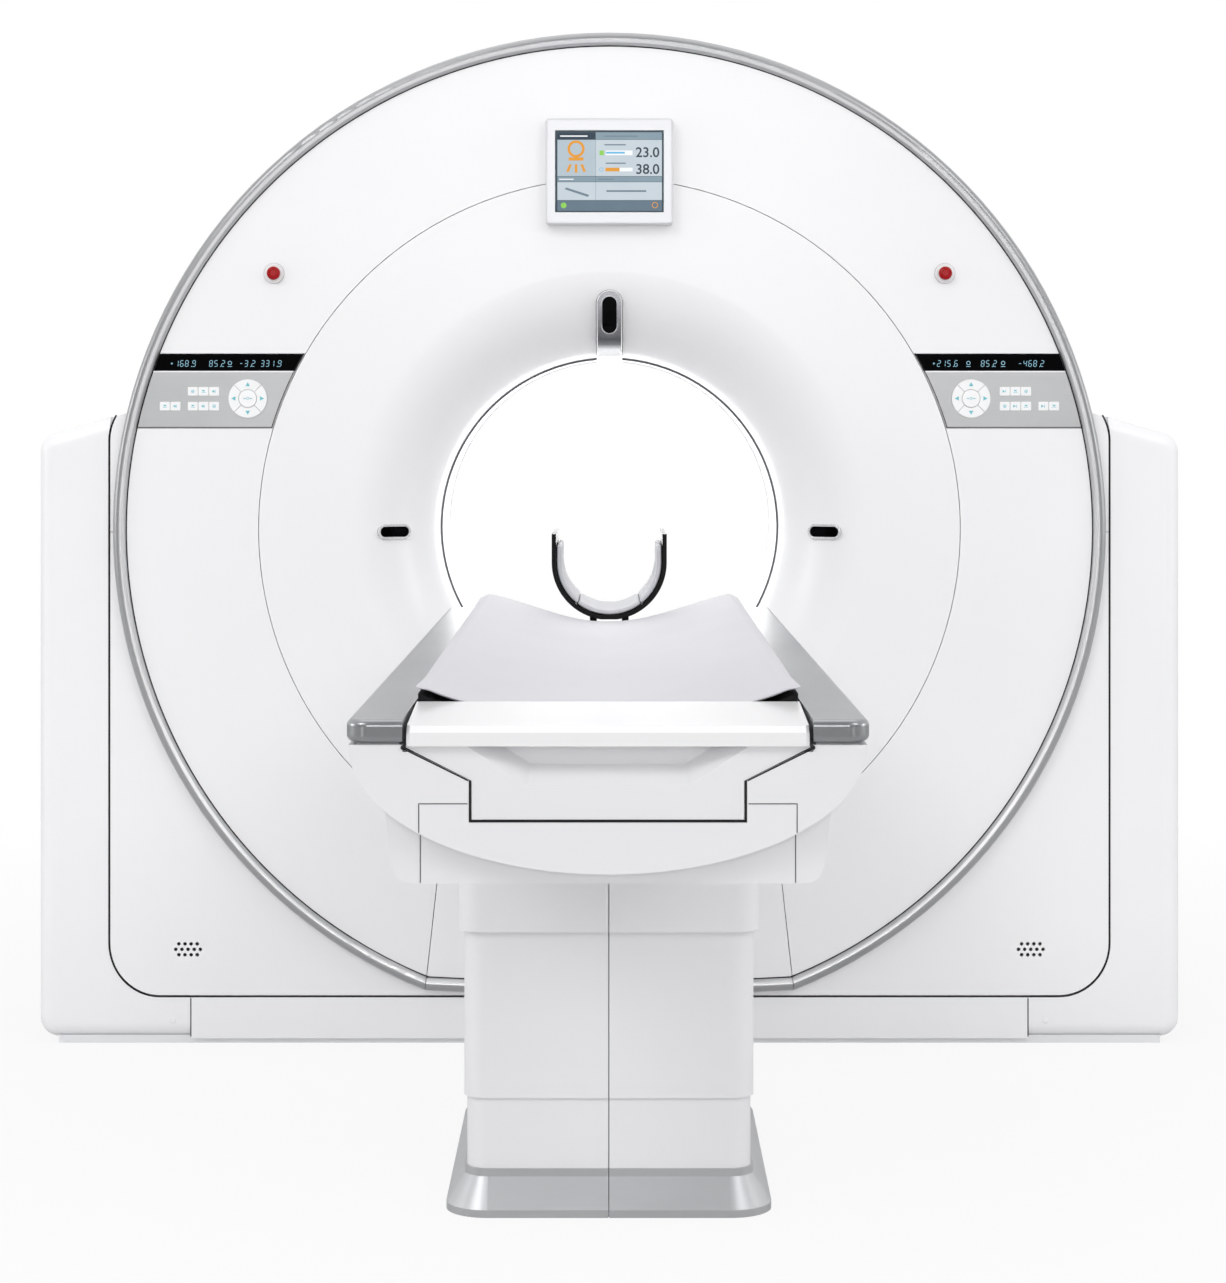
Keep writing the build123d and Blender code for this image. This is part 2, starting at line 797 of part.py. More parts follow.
def rear_cover():
    """Rear cover with rounded edges and a round opening, behind which the funnel is fixed."""
    cover = body_block(0, rear_cover_y, rear_y)
    cover = fillet(cover.faces().sort_by(Axis.Y)[-1].edges(), rear_round)
    cover -= body_block(rear_wall, rear_cover_y - 1, rear_y - cover_t)
    return cover - along_y(disc(rear_hub_r + seam_gap), rear_cover_y - 1, rear_y + 1)


def rear_funnel():
    """Rear funnel, a quarter round from the bore liner out to a flange behind the rear cover."""
    flat_y = rear_y - cover_t
    flange_y = flat_y - air

    def quarter(radius):
        deg = math.radians(45)
        mid = (rear_centre_r - radius * math.cos(deg), throat_rear_y + radius * math.sin(deg))
        end = (rear_centre_r, throat_rear_y + radius)
        return ThreePointArc((rear_centre_r - radius, throat_rear_y), mid, end)

    face = make_face([
        quarter(rear_flare_r),
        Line((rear_centre_r, rear_y), (rear_hub_r, rear_y)),
        Line((rear_hub_r, rear_y), (rear_hub_r, flat_y)),
        Line((rear_hub_r, flat_y), (rear_centre_r, flat_y)),
        quarter(rear_flare_r - cover_t),
        Line((bore_r + cover_t, throat_rear_y), (bore_r, throat_rear_y)),
    ])
    funnel = revolve(Plane.XY.offset(iso_z) * face, bore_axis)
    funnel += ring_y(liner_r + air, liner_r + air + cover_t, throat_rear_y - liner_lap, throat_rear_y + 2)
    funnel += ring_y(rear_hub_r - rim_t, rear_hub_r, flange_y - cover_t, flat_y + 1)
    return funnel + ring_y(rear_hub_r - rim_t, rear_hub_r + rim_t, flange_y - cover_t, flange_y)


def control_plate():
    """Right silver plate: dial well and the small membrane keys."""
    front = face_y - plate_proud
    plate = along_y(control_band(plate_low_z, plate_top_z, 1), front, front + plate_t)
    plate -= along_y(disc(dial_r + dial_clear, dial_x, dial_z), face_y - 1, face_y + plate_t)
    near_x, far_x = dial_x + 3.163 * key_pitch, dial_x + 6.791 * key_pitch
    high_z, low_z = dial_z + 0.6744 * key_pitch, dial_z - 0.7209 * key_pitch
    spots = [(near_x + k * key_pitch, high_z) for k in range(3)]
    spots += [(near_x + k * key_pitch, low_z) for k in range(3)]
    spots += [(far_x + k * key_pitch, low_z) for k in range(2)]
    for x, z in spots:
        plate += along_y(Pos(x, z) * RectangleRounded(key_w, key_h, 2), face_y - spot_proud, front)
    return plate


def readout_glass():
    """Right black readout strip."""
    front = face_y - plate_proud
    return along_y(control_band(glass_low_z, glass_top_z, 1), front, front + plate_t)


def key_back():
    """Depth of the dial keys' backs: travel and a little room in front of the recess floor."""
    return face_y + plate_t - plate_proud - key_travel - dial_clear


def dial_key(turn):
    """One of the four keys round a dial, turned by its angle."""
    sector = disc(dial_r, dial_x, dial_z) - disc(dial_core_r + key_gap, dial_x, dial_z)
    reach = dial_r * 1.5
    cut = key_gap * math.sqrt(0.5)
    wedge = make_face(Polyline((0, cut), (reach, reach + cut), (-reach, reach + cut), close=True))
    sector = sector & (Pos(dial_x, dial_z) * Rot(0, 0, turn) * wedge)
    return along_y(sector, face_y - key_proud, key_back())


def dial_centre():
    """Round middle key of a dial."""
    core = along_y(disc(dial_core_r, dial_x, dial_z), face_y - key_proud - 0.5, key_back())
    return chamfer(core.faces().sort_by(Axis.Y)[0].edges(), 1)


def estop():
    """Red mushroom head on its stem, right side."""
    back = face_y - collar_t - estop_travel - 1
    edge, front, flat_r = back - estop_edge, back - estop_h, estop_r * estop_flat
    half = [
        Line((0, back), (estop_r, back)),
        Line((estop_r, back), (estop_r, edge)),
        ThreePointArc((estop_r, edge), (estop_r * 0.88, edge - 0.7037 * (edge - front)), (flat_r, front)),
        Line((flat_r, front), (0, front)),
        Line((0, front), (0, back)),
    ]
    axis = Axis((estop_x, 0, estop_z), (0, 1, 0))
    head = revolve(Plane(origin=(estop_x, 0, estop_z), x_dir=(1, 0, 0), z_dir=(0, 0, 1))
                   * make_face(half), axis)
    return head + along_y(disc(estop_stem_r, estop_x, estop_z), back, face_y + panel_t)


def monitor_housing():
    """Monitor case with a recess for the screen."""
    outline = Pos(0, monitor_z) * RectangleRounded(monitor_w, monitor_h, monitor_corner)
    case = along_y(outline, face_y - monitor_t, face_y)
    case = fillet(case.faces().sort_by(Axis.Y)[0].edges(), monitor_round)
    pocket = Pos(0, monitor_z) * Rectangle(screen_w + 1, screen_h + 1)
    return case - along_y(pocket, face_y - monitor_t - 1, face_y - monitor_t + screen_deep + screen_t)


def monitor_screen():
    """Screen glass in the monitor case."""
    pane = Pos(0, monitor_z) * Rectangle(screen_w, screen_h)
    front = face_y - monitor_t + screen_deep
    return along_y(pane, front, front + screen_t)


def gantry_frame():
    """Tilting frame: bearing plate, side brackets with pivot pins, and the motor arm."""
    back = frame_y + frame_t
    hole_at = (bearing_out_r + frame_r) / 2
    plate = ring_y(bearing_out_r + pivot_fit, frame_r, frame_y, back)
    for k in range(frame_holes):
        turn = math.radians((k + 0.5) * 360 / frame_holes)
        if k != belt_hole:
            x, z = hole_at * math.cos(turn), iso_z + hole_at * math.sin(turn)
            plate -= along_y(disc(frame_hole_r, x, z), frame_y - 1, back + 1)
    plate += ring_y(frame_r - frame_rim, frame_r, frame_y - 2 * frame_rim, back)
    reach = shell_r - cover_t - air
    strip = Pos(0, iso_z + reach - frame_rim) * Rectangle(tab_w, 6 * frame_rim)
    tab = along_y(disc(reach) & strip, frame_y, back)
    for k in range(tab_count):
        plate += tab.rotate(bore_axis, (tab_count // 2 - k) * tab_step)
    arm_mid = pulley_reach - arm_back
    arm = Pos(arm_mid, iso_z - arm_mid) * Rot(0, 0, -45) * Rectangle(arm_l, arm_w)
    plate += along_y(arm - disc(frame_r - bracket_lap), frame_y, back)
    plate -= along_y(disc(shaft_room_r, pulley_reach, iso_z - pulley_reach), frame_y - 1, back + 1)
    x0, x1, high = frame_r - bracket_lap, side_x - boss_t, bracket_half_h
    bracket = block(x0 - bracket_wall, side_x - cover_t - air, bracket_front_y, back,
                    iso_z - high, iso_z + high)
    bracket -= block(x0, x1, bracket_front_y + bracket_wall, frame_y - bracket_wall,
                     iso_z - high - 1, iso_z + high + 1)
    bracket += rod_x(pivot_r + bracket_wall, x0, x1)
    pin = rod_x(pivot_r, x1 - run_gap, stand_x + stand_t + pin_end)
    side = bracket + chamfer(pin.faces().sort_by(Axis.X)[-1].edges(), pin_end / 10)
    return plate + side + mirrored(side)


def bearing_race():
    """Outer race of the big rotor bearing, with its seat flange and a groove for the balls."""
    y0, y1, y_mid = frame_y - race_over, frame_y + frame_t + race_over, frame_y + frame_t / 2
    lip_r, groove, half = bearing_out_r + race_lip, bearing_r + race_groove, race_groove_w / 2
    return turned([
        (bearing_r, y0), (bearing_out_r, y0), (bearing_out_r, y1 - race_over), (lip_r, y1 - race_over),
        (lip_r, y1), (bearing_r, y1), (bearing_r, y_mid + half), (groove, y_mid + half / 2),
        (groove, y_mid - half / 2), (bearing_r, y_mid - half),
    ])


def rotor_drum():
    """Rotor: hub in the bearing, front disc, rim for the belt, slip ring seat and ribs."""
    hub_out, seat = bearing_r - air, hub_in_r + hub_t
    front, back, disc_back = drum_front_y, drum_back_y, drum_front_y + drum_t
    hub_step = back + drum_hub_h - race_groove
    drum = turned([
        (hub_in_r, front), (drum_r, front), (drum_r, back), (drum_r - drum_rim, back),
        (drum_r - drum_rim, disc_back), (hub_out + drum_rim, disc_back), (hub_out + drum_rim, hub_step),
        (hub_out, back + drum_hub_h), (hub_out, frame_y + frame_t), (seat, frame_y + frame_t),
        (seat, hub_back_y), (hub_in_r, hub_back_y),
    ])
    half = spoke_t / 2
    rib = block(hub_out + spoke_in, drum_r - spoke_in, front + spoke_in, back, iso_z - half, iso_z + half)
    for k in range(spoke_count):
        drum += rib.rotate(bore_axis, (k + 0.5) * 360 / spoke_count)
    return drum


def slip_ring():
    """Slip ring disc with its ring grooves, on the back of the hub."""
    seat = hub_in_r + hub_t + air
    front, back = slip_front_y, slip_front_y + slip_t
    points = [(seat, front), (seat, back), (slip_r, back), (slip_r, front)]
    for k in range(slip_tracks):
        r = slip_r - slip_rim - slip_pitch * k
        points += [(r, front), (r, front + slip_groove),
                   (r - slip_track, front + slip_groove), (r - slip_track, front)]
    return turned(points)


def brush_block():
    """Carbon brush carrier on the frame, just in front of the slip ring's face."""
    half, low, carrier_back = carrier_w / 2, iso_z + slip_r - carrier_low, slip_front_y - carrier_gap
    carrier = block(-half, half, frame_y + frame_t, carrier_back, low, iso_z + slip_r + carrier_high)
    for k in range(brush_count):
        x, z = (k - 1) * brush_pitch - brush_w / 2, low + brush_t + brush_step * k
        carrier += block(x, x + brush_w, carrier_back - brush_t, slip_front_y - air, z, z + brush_t)
    return carrier


def xray_tube():
    """Tube housing: a ribbed round can with its port towards the bore."""
    r, z = tube_can_r, iso_z + tube_r
    can = along_y(disc(r, 0, z), tube_front_y, drum_front_y)
    can = fillet(can.faces().sort_by(Axis.Y)[0].edges(), tube_round)
    for y in (tube_front_y + 3 * tube_band_w, drum_front_y - 3 * tube_band_w):
        can += along_y(disc(r + tube_band, 0, z), y, y + tube_band_w)
    half = port_w / 2
    return can + block(-half, half, -half, half, z - r - port_h, z - r + port_h)


def collimator():
    """Beam limiter under the tube: a wedge with a slot through it."""
    top = iso_z + tube_r - tube_can_r - port_h
    low, x_top, x_low = top - limiter_h, limiter_top_w / 2, limiter_low_w / 2
    shape = make_face(Polyline((-x_top, top), (x_top, top), (x_low, low), (-x_low, low), close=True))
    body = along_y(shape, limiter_front_y, drum_front_y)
    return body - block(-slot_w / 2, slot_w / 2, -slot_t / 2, slot_t / 2, low - 1, top + 1)


def detector():
    """Detector arc round the focal spot, with cooling ribs behind it."""
    focus_z = iso_z + focus_r
    half = math.radians(detector_turn)

    def at(radius, angle):
        return (radius * math.sin(angle), focus_z - radius * math.cos(angle))

    def band(r0, r1, a):
        return make_face([
            ThreePointArc(at(r0, -a), at(r0, 0), at(r0, a)),
            Line(at(r0, a), at(r1, a)),
            ThreePointArc(at(r1, a), at(r1, 0), at(r1, -a)),
            Line(at(r1, -a), at(r0, -a)),
        ])

    back_r = detector_r + detector_t
    arc = along_y(band(detector_r, back_r, half), detector_front_y, drum_front_y)
    fin = band(back_r, back_r + fin_h, math.radians(fin_turn))
    fin = along_y(fin, detector_front_y + fin_front_in, drum_front_y)
    for k in range(fin_count):
        arc += fin.rotate(Axis((0, 0, focus_z), (0, 1, 0)), fin_step * (k - fin_count // 2))
    return arc


def rotor_box(turn, length, fins):
    """A module bolted to the rotor's front, at an angle round the bore."""
    front = module_front_y
    box = block(module_in_r, module_out_r, front, drum_front_y, iso_z - length / 2, iso_z + length / 2)
    box = fillet(box.edges().filter_by(Axis.Y), module_round)
    for k in range(fins):
        z = iso_z - length / 2 + (k + 0.5) * length / fins
        box += block(module_in_r + module_fin_in, module_out_r - module_fin_in, front - module_fin_h, front,
                     z - module_fin_t / 2, z + module_fin_t / 2)
    return box.rotate(bore_axis, turn)


def drive_belt():
    """Belt round the rotor's rim and the motor pulley."""

    def loop(grow):
        big = disc(drum_r + grow)
        small = disc(pulley_r + grow, pulley_reach, iso_z - pulley_reach)
        return make_hull([*big.edges(), *small.edges()])

    y0, y1 = drum_front_y + belt_in, drum_back_y - belt_in
    return along_y(loop(belt_gap + belt_t) - loop(belt_gap), y0, y1)


def motor_pulley():
    """Drive pulley with two flanges and its shaft."""
    x, z = pulley_reach, iso_z - pulley_reach
    pulley = along_y(disc(pulley_r, x, z), drum_front_y, drum_back_y)
    for y in (drum_front_y, drum_back_y - pulley_flange):
        pulley += along_y(disc(pulley_r + pulley_lip, x, z), y, y + pulley_flange)
    return pulley + along_y(disc(shaft_r, x, z), drum_back_y, frame_y + frame_t + shaft_l)


def drive_motor():
    """Rotor drive motor behind the frame's arm."""
    x, z = pulley_reach, iso_z - pulley_reach
    y0 = frame_y + frame_t
    motor = along_y(disc(motor_r, x, z), y0, y0 + motor_l)
    side = 2 * (motor_r + motor_flange)
    motor += along_y(Pos(x, z) * RectangleRounded(side, side, motor_corner), y0, y0 + motor_flange_t)
    motor += along_y(disc(motor_r - motor_cap_in, x, z), y0 + motor_l, y0 + motor_l + motor_cap_l)
    return motor - along_y(disc(shaft_r + pivot_fit, x, z), y0 - 1, y0 + shaft_hole_l)


def tower_outline(inset):
    """Left tower and its foot in x and z, drawn on the right side."""
    end_turn = math.radians(shoulder_turn)
    r = shoulder_r + run_gap
    end_x = side_x + run_gap - r * (1 - math.cos(end_turn))
    end_z = shoulder_z + r * math.sin(end_turn) - 2 * inset
    x, low = tower_x - inset, tower_low_z + inset
    top = end_z - slant * (x - end_x)
    foot = foot_x if inset == 0 else foot_x - 1
    points = [(foot, low), (x, low), (x, top), (end_x, end_z), (foot, end_z)]
    outline = make_face(Polyline(*points, close=True))
    corners = outline.vertices().filter_by(lambda v: v.X > x - 1)
    return fillet(corners, tower_corner - inset)


def tower_block(inset):
    """The tower as a block with rounded front and rear edges, cleared for the tilting body."""
    y0, y1 = flank_y + inset, tower_rear_y - inset
    tower = along_y(tower_outline(inset), y0, y1)
    edge_x = tower_x - tower_corner - 1
    rims = tower.edges().filter_by(
        lambda e: (abs(e.center().Y - y0) < 0.1 or abs(e.center().Y - y1) < 0.1)
        and e.center().X > edge_x and e.center().Z > 0)
    tower = fillet(rims, tower_round - inset)
    low_half = block(0, far, -far, far, -far, iso_z)
    tower -= swing_drum(run_gap + inset) & low_half
    upper = tower_sweep(run_gap + inset) & block(0, far, -far, far, iso_z, far)
    behind = block(0, side_x + run_gap + inset, flank_y / 2, far, iso_z, far)
    return tower - upper - behind


def tower_sweep(grow):
    """What the shoulder of the tilting body sweeps, as a turned solid round the tilt axis."""

    def at(turn):
        a = math.radians(turn)
        x = side_x + grow - (shoulder_r + grow) * (1 - math.cos(a))
        z = shoulder_z + (shoulder_r + grow) * math.sin(a) - iso_z
        return (x, iso_z + math.hypot(z, flank_y))

    start, mid, end = at(0), at(shoulder_turn / 2), at(shoulder_turn)
    face = make_face([
        Line((0, iso_z), (start[0], iso_z)),
        Line((start[0], iso_z), start),
        ThreePointArc(start, mid, end),
        Line(end, (0, end[1])),
        Line((0, end[1]), (0, iso_z)),
    ])
    plane = Plane(origin=(0, 0, 0), x_dir=(1, 0, 0), z_dir=(0, -1, 0))
    return revolve(plane * face, tilt_axis)


def tower_cover():
    """Right tower cover, open below, with a hole for the pivot."""
    cover = tower_block(0) - tower_block(cover_t)
    cover -= block(foot_x - 1, tower_x - tower_corner, flank_y + cover_t, tower_rear_y - cover_t,
                   0, tower_low_z + cover_t + 1)
    return cover - rod_x(pivot_r + pivot_room, side_x, stand_x + stand_t)


def base_covers():
    """Kick covers along the floor, front and rear, hollowed under the tilting body."""
    x = foot_x - seam_gap
    front = block(-x, x, flank_y, flank_y + kick_w, tower_low_z, kick_h)
    rear = block(-x, x, tower_rear_y - kick_w, tower_rear_y, tower_low_z, kick_h)
    swing = rod_x(swing_r + run_gap, -x - 1, x + 1)
    front -= swing
    rear -= swing
    front -= block(-far, far, flank_y + cover_t, flank_y + kick_w + 1, 0, kick_hollow_z)
    rear -= block(-far, far, tower_rear_y - kick_w - 1, tower_rear_y - cover_t, 0, kick_hollow_z)
    return Compound([*front.solids(), *rear.solids()])


def base_frame():
    """Floor frame: plate, cross beams and two pylons that carry the tilt bearings."""
    base_x = tower_x - tower_corner - air
    front, rear = flank_y + cover_t + air, tower_rear_y - cover_t - air
    outline = RectangleRounded(2 * base_x, rear - front, base_corner)
    plate = along_z(Pos(0, (front + rear) / 2) * outline, 0, base_t)
    for x in (-anchor_x / 2, anchor_x / 2):
        for y in (anchor_mid_y - anchor_y / 2, anchor_mid_y + anchor_y / 2):
            plate -= along_z(Pos(x, y) * Circle(anchor_r), -1, base_t + 1)
    for y in (beam_back - beam_mid_y, beam_back + beam_mid_y):
        plate += block(-beam_reach, beam_reach, y - beam_d / 2, y + beam_d / 2, base_t, base_t + beam_h)
    neck = stand_head_r - stand_neck_in
    pylon = make_face(Polyline((-stand_foot, base_t), (stand_foot, base_t), (neck, iso_z), (-neck, iso_z),
                               close=True))
    pylon += Pos(0, iso_z) * Circle(stand_head_r)
    pylon -= Pos(0, 0.2885 * iso_z) * RectangleRounded(stand_low_w, 0.3654 * iso_z, stand_corner)
    pylon -= Pos(0, 0.6731 * iso_z) * RectangleRounded(stand_high_w, 0.25 * iso_z, stand_corner)
    pylon = along_x(pylon, stand_x, stand_x + stand_t)
    pylon -= rod_x(bush_r + pivot_fit, stand_x - 1, stand_x + stand_t + 1)
    shoe_y = stand_foot + shoe_end
    pylon += block(stand_x, stand_x + shoe_w, -shoe_y, shoe_y, base_t, base_t + shoe_t)
    return plate + pylon + mirrored(pylon)


def tilt_bearings():
    """Flanged bushes that the pivot pins run in."""
    bush = rod_x(bush_r, stand_x, stand_x + stand_t)
    bush += rod_x(bush_r + bush_flange, stand_x - bush_flange_t, stand_x)
    return pair(bush - rod_x(pivot_r + pivot_fit, side_x, stand_x + stand_t + 1))


def tilt_gearmotor():
    """Worm gearbox on the right pylon's pivot, with its upright motor."""
    x0 = stand_x + stand_t
    box = rod_x(gear_r, x0, x0 + gear_w)
    box = fillet(box.faces().sort_by(Axis.X)[-1].edges(), gear_round)
    box -= rod_x(pivot_r + pivot_fit, x0 - 1, x0 + gear_hole_l)
    motor_top = iso_z - gear_r + gear_motor_lap
    motor = Pos(x0 + gear_w / 2, 0) * Circle(gear_w / 2 - 1)
    return box + along_z(motor, motor_top - gear_motor_l, motor_top)


def sleeve(width, low, top, thick, cut=seam_gap):
    """A telescoping sleeve: a rounded tube in two halves that meet at the middle."""
    length = sleeve_l - (upper_w - width)
    outer = Pos(0, column_mid_y) * RectangleRounded(width, length, sleeve_round)
    inner = Pos(0, column_mid_y) * RectangleRounded(width - 2 * thick, length - 2 * thick,
                                                    sleeve_round - thick)
    tube = along_z(outer - inner, low, top)
    tube -= block(-cut / 2, cut / 2, column_mid_y - sleeve_l, column_mid_y + sleeve_l, low - 1, top + 1)
    return tube


def base_skirt():
    """Flared silver skirt round the foot of the table, in two halves."""
    gap = lower_w + 2 * air
    length = sleeve_l - (upper_w - lower_w)

    def flare(grow_low, grow_top, z0, z1):
        low = Plane.XY.offset(z0) * Pos(0, column_mid_y) * RectangleRounded(
            gap + 2 * grow_low, length + 2 * grow_low, sleeve_round + grow_low)
        top = Plane.XY.offset(z1) * Pos(0, column_mid_y) * RectangleRounded(
            gap + 2 * grow_top, length + 2 * grow_top, sleeve_round + grow_top)
        return loft([low, top])

    rise = skirt_h - skirt_lip
    skirt = flare(skirt_grow, skirt_grow, 0, skirt_lip) + flare(skirt_grow, skirt_top, skirt_lip, rise)
    skirt += flare(skirt_top, skirt_top, rise, skirt_h)
    skirt -= flare(0, 0, -1, skirt_h + 1)
    return skirt - block(-skirt_gap / 2, skirt_gap / 2, -far, far, -1, skirt_h + 1)


def table_base():
    """Table foot plate with anchor holes and the fixed part of the lift column."""
    fit = lower_w - 2 * lower_t - 2 * air
    length = fit + sleeve_l - upper_w
    outline = Pos(0, column_mid_y) * RectangleRounded(fit, length, sleeve_round - lower_t - air)
    plate = along_z(outline, 0, foot_t)
    for x in (-foot_anchor_x, foot_anchor_x):
        for y in (column_mid_y - foot_anchor_y, column_mid_y + foot_anchor_y):
            plate -= along_z(Pos(x, y) * Circle(foot_anchor_r), -1, foot_t + 1)
    return plate + column_tube(column_w, foot_t, lower_top_z)


def column_tube(width, low, top):
    """One square stage of the lift column."""
    inner = width - 2 * column_wall
    tube = RectangleRounded(width, width, column_corner) - RectangleRounded(inner, inner, column_corner / 2)
    return along_z(Pos(0, column_mid_y) * tube, low, top)


def middle_stage():
    """Middle stage of the lift: its column tube and the sleeve that goes with it."""
    width = column_w - 2 * column_wall - 2 * column_fit
    column = column_tube(width, middle_low_z - middle_lap, middle_top_z - middle_top_in)
    cover = sleeve(middle_w, middle_low_z, middle_top_z, (middle_w - lower_w) / 2 - sleeve_fit)
    return Compound([*column.solids(), *cover.solids()])


def keel_outline(clear):
    """Outline of the carriage in x and z, made smaller by the clearance."""
    x, low, mid = keel_x - clear, keel_z + clear, keel_mid_z - clear * 0.4
    top_x = rail_in_x - clear
    top, edge = hull_z - keel_top_in, hull_z - 2 * keel_top_in
    points = [(-x, low), (x, low), (x, mid), (top_x, edge),
              (top_x, top), (-top_x, top), (-top_x, edge), (-x, mid)]
    return make_face(Polyline(*points, close=True))


def hull_half(inset, top):
    """Half an ellipse below the table top."""
    box = Pos(0, top - hull_drop) * Rectangle(2 * hull_x + 2, 2 * hull_drop)
    return (Pos(0, hull_z) * Ellipse(hull_x - inset, hull_drop - inset)) & box


def table_hull():
    """Boat-shaped table body: shell, end walls and the channel for the carriage."""
    hull = along_y(hull_half(0, hull_z), front_y + wall, back_y)
    hull -= along_y(hull_half(wall, hull_z - hull_lid), front_y + 3 * wall, back_y - hull_end)
    channel = keel_outline(0) + Pos(0, hull_z) * Rectangle(2 * rail_in_x, 2 * hull_lid)
    hull -= along_y(channel, front_y, back_y + 1)
    well, half_l = middle_w / 2 + well_gap, sleeve_l / 2
    hull -= block(-well, well, column_mid_y - half_l, column_mid_y + half_l, 0, hull_z - well_top_in)
    return hull - panel_seam()


def panel_seam():
    """Thin groove round the removable centre panel, on hull and belly."""
    g, y1 = panel_groove, front_y + wall + groove_deep
    groove = block(panel_x - g, panel_x + g, -far, y1, 0, panel_top_z + g)
    groove += block(keel_x - 1, panel_x + g, -far, y1, panel_top_z - g, panel_top_z + g)
    return groove + mirrored(groove)


def belly_cover():
    """Tray-shaped cover under the hull, narrower below, with rounded long edges."""
    points = [(-belly_x_top, belly_top_z), (-belly_x_low, belly_low_z),
              (belly_x_low, belly_low_z), (belly_x_top, belly_top_z)]
    outline = make_face(Polyline(*points, close=True))
    low = outline.vertices().filter_by(lambda v: v.Y < belly_low_z + 1)
    outline = fillet(low, belly_round)
    tray = along_y(outline, belly_front_y, belly_back_y)
    inner = offset(outline, -wall, kind=Kind.INTERSECTION)
    tray -= along_y(inner, belly_front_y + wall, belly_back_y - wall)
    tray -= along_y(hull_half(-air, hull_z), belly_front_y - 1, belly_back_y + 1)
    well_x, well_y = middle_w / 2 + well_gap, sleeve_l / 2 - wall
    tray -= block(-well_x, well_x, column_mid_y - well_y, column_mid_y + well_y, 0, belly_low_z + 2 * wall)
    for x in (-panel_x, panel_x):
        tray -= block(x - panel_groove, x + panel_groove, -far, belly_front_y + groove_deep, 0, hull_z)
    return tray


def side_rail():
    """Silver rail along the table's edge, with a rounded front corner."""
    z0, z1 = hull_z + rail_foot, hull_z + rail_foot + rail_h
    top = Pos((rail_in_x + rail_out_x) / 2, (front_y + back_y) / 2) * Rectangle(
        rail_out_x - rail_in_x, back_y - front_y)
    top = fillet(top.vertices().filter_by(lambda v: v.X > rail_out_x - 1), rail_corner)
    rail = along_z(top, z0, z1)
    outer = rail.edges().filter_by(
        lambda e: e.center().X > rail_out_x - rail_edge or e.center().Y < front_y + 1)
    flat = outer.filter_by(lambda e: abs(e.center().Z - z1) < 0.1 or abs(e.center().Z - z0) < 0.1)
    rail = fillet(flat, rail_round)
    foot = block(rail_in_x + rail_foot_in, rail_out_x - rail_foot_out, front_y + rail_foot_out + air,
                 back_y - rail_foot_out, hull_z, z0)
    return rail + foot


def saddle_frame():
    """Steel backbone: beam, guide rails, cross ribs and the inner column stage."""
    y0, y1 = front_y + beam_front_in, back_y - beam_back_in
    inner = column_w - 4 * column_wall - 4 * column_fit
    frame = block(-beam_x, beam_x, y0, y1, beam_low_z, beam_top_z)
    frame += column_tube(inner, lower_top_z - column_lap, beam_low_z)
    for x in (-rail_guide_x, rail_guide_x):
        w = rail_guide_w / 2
        frame += block(x - w, x + w, y0, y1, beam_top_z, keel_z + keel_gap - air)
    ribs = (y0 + rib_end_in, (y0 + column_mid_y) / 2, (y1 + column_mid_y) / 2 + rib_end_in, y1 - rib_back_in)
    for y in ribs:
        strip = Pos(0, beam_low_z) * Rectangle(2 * beam_x, 2 * hull_drop)
        frame += along_y(hull_half(wall + air, beam_low_z) & strip, y, y + rib_t)
    for x in (-ear_x, ear_x):
        frame += block(x - ear_t / 2, x + ear_t / 2, roller_y - roller_r, roller_y + roller_r,
                       beam_top_z, roller_z() + ear_over)
    return frame - rod_x(axle_r + pivot_fit, -beam_x, beam_x, roller_y, roller_z())


def roller_z():
    """Height of the support roller's axle, just under the cradle."""
    return cradle_low_z + roller_in - roller_r


def support_roller():
    """Two rollers on one axle that carry the cradle at the gantry end."""
    z = roller_z()
    axle = rod_x(axle_r, -ear_x - axle_over, ear_x + axle_over, roller_y, z)
    x1 = ear_x - roller_gap
    roller = rod_x(roller_r, x1 - roller_l, x1, roller_y, z)
    return axle + roller + mirrored(roller)


def trough(low_mid, low_edge, top_mid, top_edge, x):
    """A crescent section between two arcs in x and z."""
    return make_face([
        ThreePointArc((-x, top_edge), (0, top_mid), (x, top_edge)),
        Line((x, top_edge), (x, low_edge)),
        ThreePointArc((x, low_edge), (0, low_mid), (-x, low_edge)),
        Line((-x, low_edge), (-x, top_edge)),
    ])


def cradle():
    """Carbon cradle: a long crescent shell with a socket for the head holder."""
    section = trough(cradle_low_z, cradle_low_edge_z, cradle_mid_z, cradle_edge_z, cradle_x)
    shell = along_y(section, cradle_front_y + air, cradle_back_y)
    x, low, top = tongue_x + tongue_fit, tongue_low_z - tongue_fit, tongue_low_z + tongue_t + tongue_fit
    return shell - block(-x, x, cradle_back_y - tongue_l - 1, cradle_back_y + 1, low, top)


def mattress():
    """Thin pad in the cradle's trough."""
    low_mid, low_edge = cradle_mid_z + air, cradle_edge_z + air
    section = trough(low_mid, low_edge, cradle_mid_z + pad_t, cradle_edge_z + pad_edge_t, pad_x)
    return along_y(section, cradle_front_y + mattress_set, pad_back_y)


